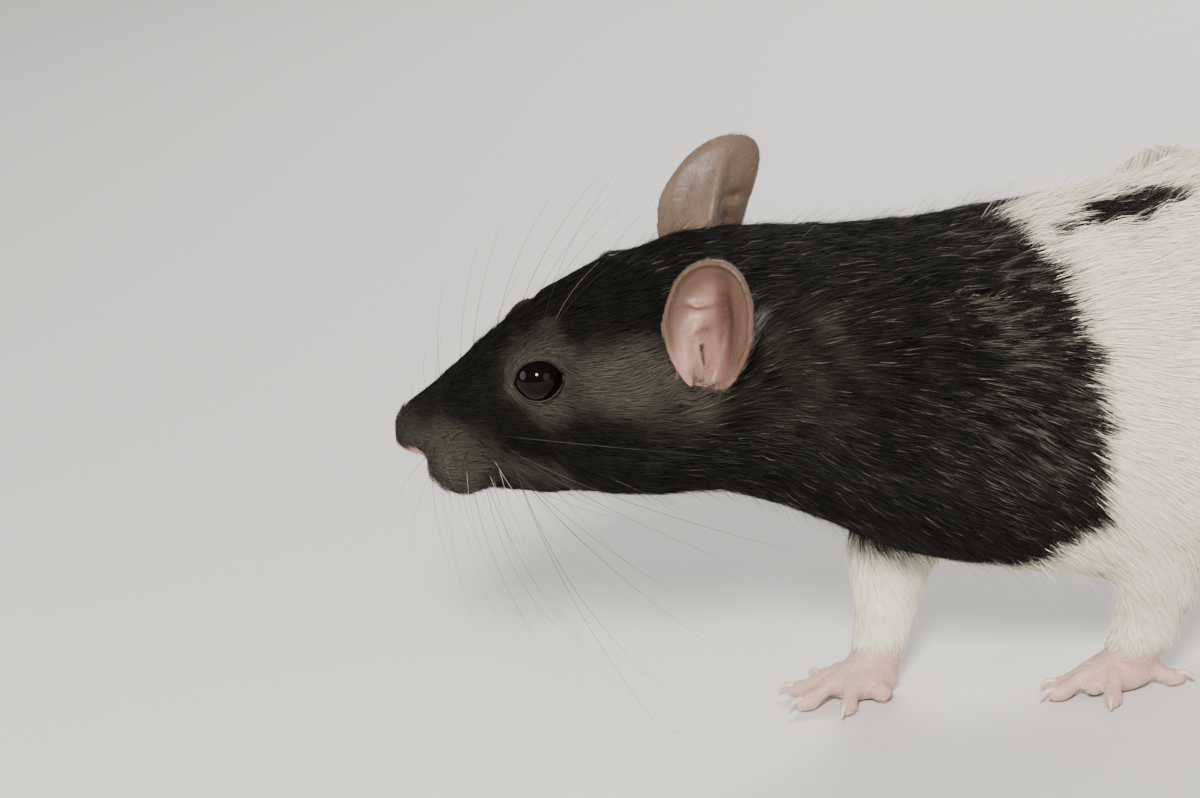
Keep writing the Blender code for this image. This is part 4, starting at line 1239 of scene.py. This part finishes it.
def bendTufts(roots, draw):
    points, normals = roots["points"], unit(roots["normals"])
    count = len(points)
    wide, wideWave, fine, fineWave, chance = coat["drift"]
    drift = (wide * softNoise(points, wideWave, 31) + fine * softNoise(points, fineWave, 32)
             + chance * draw.normal(size=count))
    way = roots["way"] + np.cross(normals, roots["way"]) * drift[:, None]
    way = unit(laidFlat(way, normals), 1e-9)
    across = np.cross(normals, way)
    guardShare, guardLong, guardWide, guardLift = coat["guard"]
    strayShare, strayLong, strayWide, strayLift = coat["stray"]
    guard = draw.random(count) < guardShare
    stray = (draw.random(count) < strayShare) & (roots["length"] > coat["strayFrom"])
    length = roots["length"] * draw.uniform(0.75, 1.12, count)
    length = length * np.where(guard, guardLong, 1.0) * np.where(stray, strayLong, 1.0)
    width = roots["width"] * draw.uniform(0.75, 1.25, count)
    width = width * np.where(guard, guardWide, 1.0) * np.where(stray, strayWide, 1.0)
    lift = np.radians(roots["lift"] + 4.5 * draw.normal(size=count) + 4 * softNoise(points, 3.0, 33)
                      + np.where(guard, guardLift, 0.0) + np.where(stray, draw.uniform(*strayLift, count), 0.0))
    lift = np.clip(lift, 0.04, 1.0)
    start = points - normals * coat["sunk"]
    middle = start + halfTuft(way, normals, lift, length)
    tip = middle + halfTuft(way, normals, np.where(stray, lift * 0.7, lift * 0.25 - 0.05), length)
    locks = draw.choice(count, int(count / coat["lockSize"]), replace=False)
    tree = treeOf(points[locks])
    mine = np.array([tree.find(p)[1] for p in points])
    pull = (tip[locks] - start[locks])[mine] + points[locks][mine] - tip
    reach = np.linalg.norm(pull, axis=1)
    pull *= (np.minimum(1.0, coat["clumpReach"] / (reach + 1e-6)) * coat["clump"])[:, None]
    skinTree = treeOf(fields.points)
    furry = 1 - np.clip(roots["bare"], 0, 1)
    low = draw.uniform(0.8, 1.2, count) * np.minimum(1, length / 3.0)
    middle = overSkin(middle + pull * 0.3, skinTree, coat["middleOver"] * low, furry)
    tip = overSkin(tip + pull, skinTree, coat["tipOver"] * low, furry)
    roll = draw.uniform(-1, 1, count) * coat["roll"]
    blade = normals * np.sin(roll)[:, None] - across * np.cos(roll)[:, None]
    return start, middle, tip, blade * (width / 2)[:, None]


def bodyUnwrap(points, low, high):      # round the body and along it
    centre = np.interp(points[:, 0], *np.array(bodyLine).T)
    swing = 5.0 * ease((points[:, 0] - 80) / 96)
    turned = np.arctan2(points[:, 2] - centre, points[:, 1] - swing) / (2 * math.pi) + 0.5
    return np.stack(((points[:, 0] - low) / (high - low), (turned + 0.25) % 1.0), 1)


def shareOf(values):      # 0 to 1 from the lowest to the highest, with a small margin
    low, high = values.min(), values.max()
    return 0.02 + 0.96 * (values - low) / (high - low)


def legUnwrap(points, normals):      # each leg has half the map: round it and down it
    place = np.zeros((len(points), 2))
    for cell, sign in enumerate(sides.values()):
        mine = points[:, 1] * sign > 0
        spots = points[mine]
        off = np.stack([spots[:, k] - np.polyval(np.polyfit(spots[:, 2], spots[:, k], 2), spots[:, 2])
                        for k in (0, 1)], 1)
        place[mine] = np.stack(((cell + shareOf(np.arctan2(off[:, 1], off[:, 0]))) / 2, shareOf(spots[:, 2])), 1)
    return place


def pawUnwrap(points, normals):      # each paw has a quarter, from above
    place = np.zeros((len(points), 2))
    for row, behind in enumerate((False, True)):
        for cell, sign in enumerate(sides.values()):
            mine = (points[:, 1] * sign > 0) & ((points[:, 0] > 90) == behind)
            if mine.any():
                place[mine] = np.stack(((row + shareOf(points[mine, 0])) / 2,
                                        (cell + shareOf(points[mine, 1])) / 2), 1)
    return place


def earUnwrap(points, normals):      # each ear's cup and back have a quarter each
    place = np.zeros((len(points), 2))
    for cell, (side, sign) in enumerate(sides.items()):
        across, along, _ = inEar(side, points)
        back = normals @ earFrame(side)[2] < 0
        for row, face in enumerate((back, ~back)):
            mine = (points[:, 1] * sign > 0) & face
            place[mine] = np.stack(((row + shareOf(across[mine])) / 2, (cell + shareOf(along[mine])) / 2), 1)
    return place


def tailUnwrap(points, normals):
    along, around = alongTail(points)
    return np.stack((shareOf(along), shareOf(around)), 1)


def tuftMesh(name, tufts, masks, place):
    start, middle, tip, blade = tufts
    count = len(start)
    corners = np.stack((start - blade, start + blade, middle + blade * coat["taper"],
                        middle - blade * coat["taper"], tip), 1)
    corners[:, :, 2] = np.maximum(corners[:, :, 2], rat["floor"] + coat["overFloor"])
    mesh = bpy.data.meshes.new(name)
    mesh.vertices.add(count * 5)
    mesh.vertices.foreach_set("co", ((corners.reshape(-1, 3) + fromPart) * mm).ravel())
    first = np.arange(count)[:, None] * 5
    loops = np.concatenate((first + (0, 1, 2, 3), first + (3, 2, 4)), 1).ravel()
    mesh.loops.add(count * 7)
    mesh.loops.foreach_set("vertex_index", loops)
    mesh.polygons.add(count * 2)
    starts = (np.arange(count)[:, None] * 7 + (0, 4)).ravel()
    mesh.polygons.foreach_set("loop_start", starts)
    mesh.polygons.foreach_set("loop_total", np.tile((4, 3), count))
    mesh.polygons.foreach_set("use_smooth", np.ones(count * 2, bool))
    mesh.update(calc_edges=True)
    uv = mesh.uv_layers.new(name="OFBake")
    half = coat["patch"] / 2
    patch = np.array(((-half, -half), (half, -half), (half, 0.0), (-half, 0.0), (0.0, half)))
    spots = np.clip(place, half, 1 - half)[:, None, :] + patch[None]
    uv.data.foreach_set("uv", spots.reshape(-1, 2)[loops].astype(np.float32).ravel())
    wide = np.repeat(masks[:, None], 5, axis=1)
    wide[:, :, 3] = np.clip(wide[:, :, 3] + (-0.3, -0.3, 0.0, 0.0, 0.3), 0, 1)      # the tip is lighter than the root
    writeColour(mesh, "coatMasks", wide)
    mesh.materials.append(coatPaint)
    thing = addThing(name, mesh)
    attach(thing, "root")
    return thing


limbCoats = {
    "coatForeLegs": (("forearm",), legUnwrap, "white_coat"),
    "coatHindLegs": (("shank",), legUnwrap, "white_coat"),
    "downPaws": (("forepaw", "hindpaw"), pawUnwrap, "paw_skin"),
    "downEars": (("ear",), earUnwrap, "ear_skin"),
    "tailHair": (("tail",), tailUnwrap, "tail_skin"),
}


def markTufts(roots, draw):      # black, grey, bare and shade of each tuft
    points = roots["points"]
    count = len(points)
    jitter = points + np.stack((draw.normal(size=count) * 0.7, np.zeros(count), draw.normal(size=count) * 0.5), 1)
    black = (hoodMask(jitter, roots["onArm"]) > draw.random(count)).astype(float)
    # painted sheen: more silvery hairs in a band of the hood stand in for a highlight there
    (middle, reach), (low, over) = markings["paintedSheen"], markings["paintedSheenFrom"]
    paintedSheen = np.exp(-((points[:, 0] - middle) / reach) ** 2) * ease((points[:, 2] - low) / over)
    lines = ease(softNoise(points * (0.28, 1.0, 1.0), 0.65, 51) / 0.5)      # fine streaks of silvery hairs along the hood, partly real grey hairs and partly painted glints
    anywhere, more = markings["silverHairsAndGlints"]
    silverHairsAndGlints = (draw.random(count) < (anywhere + more * paintedSheen) * lines) & (points[:, 0] > 8)
    black = np.where(silverHairsAndGlints, black * draw.uniform(0.87, 0.99, count), black)
    brown, loose = coat["earBrown"]
    onEar = roots["part"] == partNames.index("ear")
    grey = np.where(onEar, brown + loose * draw.random(count), greyMask(points))      # down on an ear is brownish
    shade = np.clip(draw.normal(0.45, 0.2, count) + 0.15 * softNoise(points, 2.0, 41), 0, 1)
    return np.stack((black, grey, roots["bare"], shade), 1)


def keptTufts(roots, tips):
    points = roots["points"]
    kept = lidDistance(points) > coat["lidGap"]
    onEar = roots["part"] == partNames.index("ear")
    rootLimit, tipLimit, deepest = coat["cupLimits"]
    for side, sign in sides.items():      # none in the cups of the ears but their own down
        for spots, limit in ((points, rootLimit), (tips, tipLimit)):
            across, along, deep = inEar(side, spots)
            over = deep - earDepth(across, along)
            away = (np.hypot(across, along) > limit) | (over < 0) | (over > deepest)
            kept &= onEar | away | (spots[:, 1] * sign < 0)
    for sign in sides.values():      # and none inside the lids
        share, front = roundEye(sign, points)[3:]
        kept &= (share > 1) | ~front
    return kept


def makeCoat():
    roots, draw = growRoots()
    tufts = bendTufts(roots, draw)
    masks = markTufts(roots, draw)
    kept = keptTufts(roots, tufts[2])
    points, normals = roots["points"], roots["normals"]

    def within(names):
        return kept & np.isin(roots["part"], [partNames.index(n) for n in names])

    def addCoat(name, mine, place):
        thing = tuftMesh(name, [values[mine] for values in tufts], masks[mine], place)
        print(name, mine.sum() * 3)
    trunk = within(("head", "neck", "shoulders", "ribs", "hips", "upper_arm", "thigh"))
    for name, (low, high, slot) in trunkCoats.items():
        mine = trunk & (points[:, 0] >= low) & (points[:, 0] < high)
        addCoat(name, mine, bodyUnwrap(points[mine], low, high))
    for name, (parts, unwrap, slot) in limbCoats.items():
        mine = within(parts)
        addCoat(name, mine, unwrap(points[mine], normals[mine]))


finishSkin()
makeCoat()
print("coat is grown")


whiskerLook = {
    "columns": 6, "rows": 5,
    "pad": (-23.0, -13.6, -2.6, -10.4),      # from the front to the back and from the top down, in the head's frame
    "padOut": (3.2, 4.6),         # how far out the front column is, and how much further the rear one
    "padBow": 1.2,                # the front column sits this much lower
    "shift": 0.25,
    "lengths": (13.0, 47.0),      # of the front and the rear column
    "vary": (0.8, 1.1),
    "share": {"left": 1.0, "right": 0.85},
    "rise": {"left": (14.0, -80.0), "right": (64.0, -62.0)},      # degrees, of the top and the bottom row
    "sweep": (-26.0, 40.0),       # degrees back from sideways, of the front and the rear column
    "loose": 9,
    "sag": (0.22, -0.10, -0.06, 0.10),      # back, in and down, and how much that varies
    "thick": (0.068, 0.014),      # radius at the root and the tip
    "thinner": (0.55, 0.45, 0.3),      # share at the front, gained to the rear, and lost to the bottom row
    "steps": 14,
    "seed": 5,
}
# Single long hairs: how many a side, box in the head's frame, lengths, way, spread, radius at the root
singleHairs = {
    "brow": (3, (-7.0, -3.0, 6.0, 8.0, 9.6, 11.6), (12.0, 20.0), (0.55, 0.35, 0.85), 0.2, 0.035),
    "cheek": (2, (0.0, 3.0, 9.0, 13.0, -7.0, -4.0), (9.0, 14.0), (0.9, 0.45, -0.25), 0.15, 0.026),
    "chin": (18, (-24.0, -6.0, 0.0, 5.0, -13.0, -9.0), (2.5, 5.0), (0.75, 0.2, -0.6), 0.25, 0.014),
    "throat": (30, (-4.0, 26.0, 0.0, 9.0, -16.0, -10.0), (3.0, 6.5), (0.9, 0.1, -0.4), 0.22, 0.014),
    "chest": (40, (26.0, 62.0, 0.0, 12.0, -32.0, -22.0), (4.0, 8.0), (0.95, 0.1, -0.3), 0.2, 0.015),
}
singleSag = (0.15, 0.0, -0.08)
hairPatch = {"radius": 0.0015, "overFloor": 0.2}


def hairMesh(name, paths, shades, paint):      # one mesh of many fine tapered hairs
    low = hairPatch["overFloor"]
    thing = curveMesh(name, [[(x, y, max(z, low), r) for x, y, z, r in path] for path in paths], 1, False)
    mesh = thing.data
    each = len(mesh.vertices) // sum(len(path) for path in paths)
    owner = np.repeat(np.arange(len(paths)), [len(path) * each for path in paths])
    masks = np.zeros((len(mesh.vertices), 4))
    masks[:, 0] = np.array(shades)[owner]
    masks[:, 3] = 0.5
    writeColour(mesh, "coatMasks", masks)
    for layer in list(mesh.uv_layers):
        mesh.uv_layers.remove(layer)
    across = math.ceil(math.sqrt(len(paths)))      # each hair has its own patch of the map
    places = np.stack((owner % across + 0.5, owner // across + 0.5), 1) / across
    loops = np.empty(len(mesh.loops), np.int64)
    mesh.loops.foreach_get("vertex_index", loops)
    turn = np.arange(len(mesh.vertices)) % each / each * 2 * math.pi
    spots = places + hairPatch["radius"] * np.stack((np.cos(turn), np.sin(turn)), 1)
    mesh.uv_layers.new(name="OFBake").data.foreach_set("uv", spots[loops].astype(np.float32).ravel())
    finished(thing, paint)
    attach(thing, "root")
    return thing


def curvedHair(start, way, sag, length, radii, steps):
    path = []
    for k in range(steps + 1):
        share = k / steps
        out = start + way * (length * share) + sag * (length * share * share)
        path.append((*out, between(radii, share ** 0.8)))
    return path


def headWay(x, way, sign):      # a way in the head's frame, turned to the part's
    turn = rollAt(x)
    across, high = way[1] * sign, way[2]
    return np.array((way[0], across * math.cos(turn) - high * math.sin(turn),
                     high * math.cos(turn) + across * math.sin(turn)))


def oneWhisker(draw, tree, side, down, back):      # down and back: its row and column as shares of the pad
    look, sign = whiskerLook, sides[side]
    frontX, backX, topZ, lowZ = look["pad"]
    x = between((frontX, backX), back) + draw.normal() * look["shift"]
    z = between((topZ, lowZ), down) + draw.normal() * look["shift"] - look["padBow"] * (1 - back)
    spot, _, _ = tree.find(headPoint(x, sign * (look["padOut"][0] + look["padOut"][1] * back), z))
    rise = math.radians(between(look["rise"][side], down) + look["loose"] * draw.normal())
    sweep = math.radians(between(look["sweep"], back) + look["loose"] * draw.normal())
    way = (math.cos(rise) * math.sin(sweep), math.cos(rise) * math.cos(sweep), math.sin(rise))
    length = between(look["lengths"], back) * (draw.uniform(*look["vary"]) * look["share"][side])
    sagBack, sagIn, sagDown, vary = look["sag"]
    sag = headWay(x, (sagBack, sagIn, vary * draw.normal() + sagDown), sign)
    atFront, gained, lost = look["thinner"]
    thick = look["thick"][0] * (atFront + gained * back) * (1 - lost * down), look["thick"][1]
    return curvedHair(np.array(spot), headWay(x, way, sign), sag, length, thick, look["steps"])


def makeWhiskers():
    draw = np.random.default_rng(whiskerLook["seed"])
    tree = treeOf(fields.points)
    paths, shades = [], []
    for side, sign in sides.items():
        for row in range(whiskerLook["rows"]):
            down = row / (whiskerLook["rows"] - 1)
            for column in range(whiskerLook["columns"]):
                paths.append(oneWhisker(draw, tree, side, down, column / (whiskerLook["columns"] - 1)))
                shades.append(1.0 if down < 0.45 or draw.random() < 0.2 else 0.7)      # the lower ones are paler
        for count, box, lengths, way, loose, thick in singleHairs.values():
            for _ in range(count):
                x, y, z = (draw.uniform(box[k], box[k + 1]) for k in (0, 2, 4))
                spot, _, _ = tree.find(headPoint(x, sign * y, z))
                heading = headWay(x, np.array(way) + loose * draw.normal(size=3), sign)
                heading /= np.linalg.norm(heading)
                paths.append(curvedHair(np.array(spot), heading, np.array(singleSag),
                                        draw.uniform(*lengths), (thick, thick / 2), 8))
                shades.append(1.0 if draw.random() < 0.6 else 0.85)
    hairMesh("whiskers", paths, shades, whiskerPaint)


def whiskerMaterial():
    made, tree, shader = newMaterial("ratWhisker", Roughness=0.3)
    pattern, _ = patternNode(tree)
    tree.links.new(pattern.outputs["Colour"], shader.inputs["Base Color"])
    return made


whiskerPaint = whiskerMaterial()
makeWhiskers()
print("whiskers are in")


eyeLook = {
    "segments": 56, "rings": 40,
    "cornea": 0.16,               # the clear front stands this much proud
    "black": (0.0015, 0.0012, 0.0012, 1), "brown": (0.004, 0.0024, 0.002, 1),
    "roughness": 0.05, "specular": 0.16, "ior": 1.38,
    "fibres": 900.0,
    "rimDark": (0.006, 0.0045, 0.004, 1), "rimBrown": (0.020, 0.014, 0.011, 1),
    "rimRoughness": 0.42, "rimSpecular": 0.12,
    "rimGrain": (1500.0, 0.4, 0.1),      # scale, strength and depth in mm
}


def makeEyes():
    made, tree, shader = newMaterial("eyeBlack", Roughness=eyeLook["roughness"], IOR=eyeLook["ior"],
                                     Specular_IOR_Level=eyeLook["specular"])
    fibres = maths(tree, "MULTIPLY", noiseOn(tree, eyeLook["fibres"], 3.0), 0.6)
    tree.links.new(mixColour(tree, fibres, eyeLook["black"], eyeLook["brown"]), shader.inputs["Base Color"])
    radius = rat["eyeRadius"] * mm
    for side, sign in sides.items():
        middle, out, _, _ = eyeFrame(sign)
        bpy.ops.object.select_all(action="DESELECT")
        bpy.ops.mesh.primitive_uv_sphere_add(segments=eyeLook["segments"], ring_count=eyeLook["rings"], radius=radius)
        ball = bpy.context.object
        ball.name = "eye_" + side + "_wet"
        for v in ball.data.vertices:
            v.co.z += max(0.0, v.co.z / radius) ** 3 * eyeLook["cornea"] * mm
        ball.data.transform(Matrix.Translation(toFrame(middle))
                            @ Vector(out).to_track_quat("Z", "X").to_matrix().to_4x4())
        finished(ball, made)
        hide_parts("eye_" + side)
        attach(ball, "root")


def makeRims():      # the moist dark edge of the lids
    made, tree, shader = newMaterial("lidRim", Roughness=eyeLook["rimRoughness"],
                                     Specular_IOR_Level=eyeLook["rimSpecular"])
    scale, strength, depth = eyeLook["rimGrain"]
    grain = noiseOn(tree, scale, 3.0)
    tree.links.new(mixColour(tree, grain, eyeLook["rimDark"], eyeLook["rimBrown"]), shader.inputs["Base Color"])
    tree.links.new(bumpFrom(tree, grain, strength, depth), shader.inputs["Normal"])
    pieces = []
    for sign in sides.values():
        line = rimLine(sign)
        corner = np.abs(np.cos(np.linspace(0, 2 * math.pi, len(line)))) ** 6
        thick = between(lids["rim"], corner)
        pieces.append(tube("rim", [(*p, r) for p, r in zip(line, thick)], 5))
    rims = finished(joined(pieces, "lidRims"), made)
    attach(rims, "root")


makeEyes()
makeRims()
print("eyes are in")


clawLook = {
    "colour": (0.62, 0.46, 0.38, 1), "root": (0.55, 0.33, 0.28, 1),
    "grain": 700.0,
    "step": 0.35,
    "overFloor": 0.00003,
}


def makeClaws():
    made, tree, shader = newMaterial("clawHorn", Roughness=0.32, Subsurface_Weight=0.1, Subsurface_Scale=0.0006)
    grain = noiseOn(tree, clawLook["grain"])
    tree.links.new(mixColour(tree, grain, clawLook["root"], clawLook["colour"]), shader.inputs["Base Color"])
    claws = joined([tube("claw", smoothPath(path, clawLook["step"]), 4) for path in clawPaths], "claws")
    points = np.array([v.co for v in claws.data.vertices])
    points[:, 2] = np.maximum(points[:, 2], clawLook["overFloor"])
    claws.data.vertices.foreach_set("co", points.ravel())
    finished(claws, made)
    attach(claws, "root")


makeClaws()
print("claws are on")

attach(skinPiece, "root")
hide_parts(*[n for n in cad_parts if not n.startswith("eye")])
print("pieces ride on the frame")
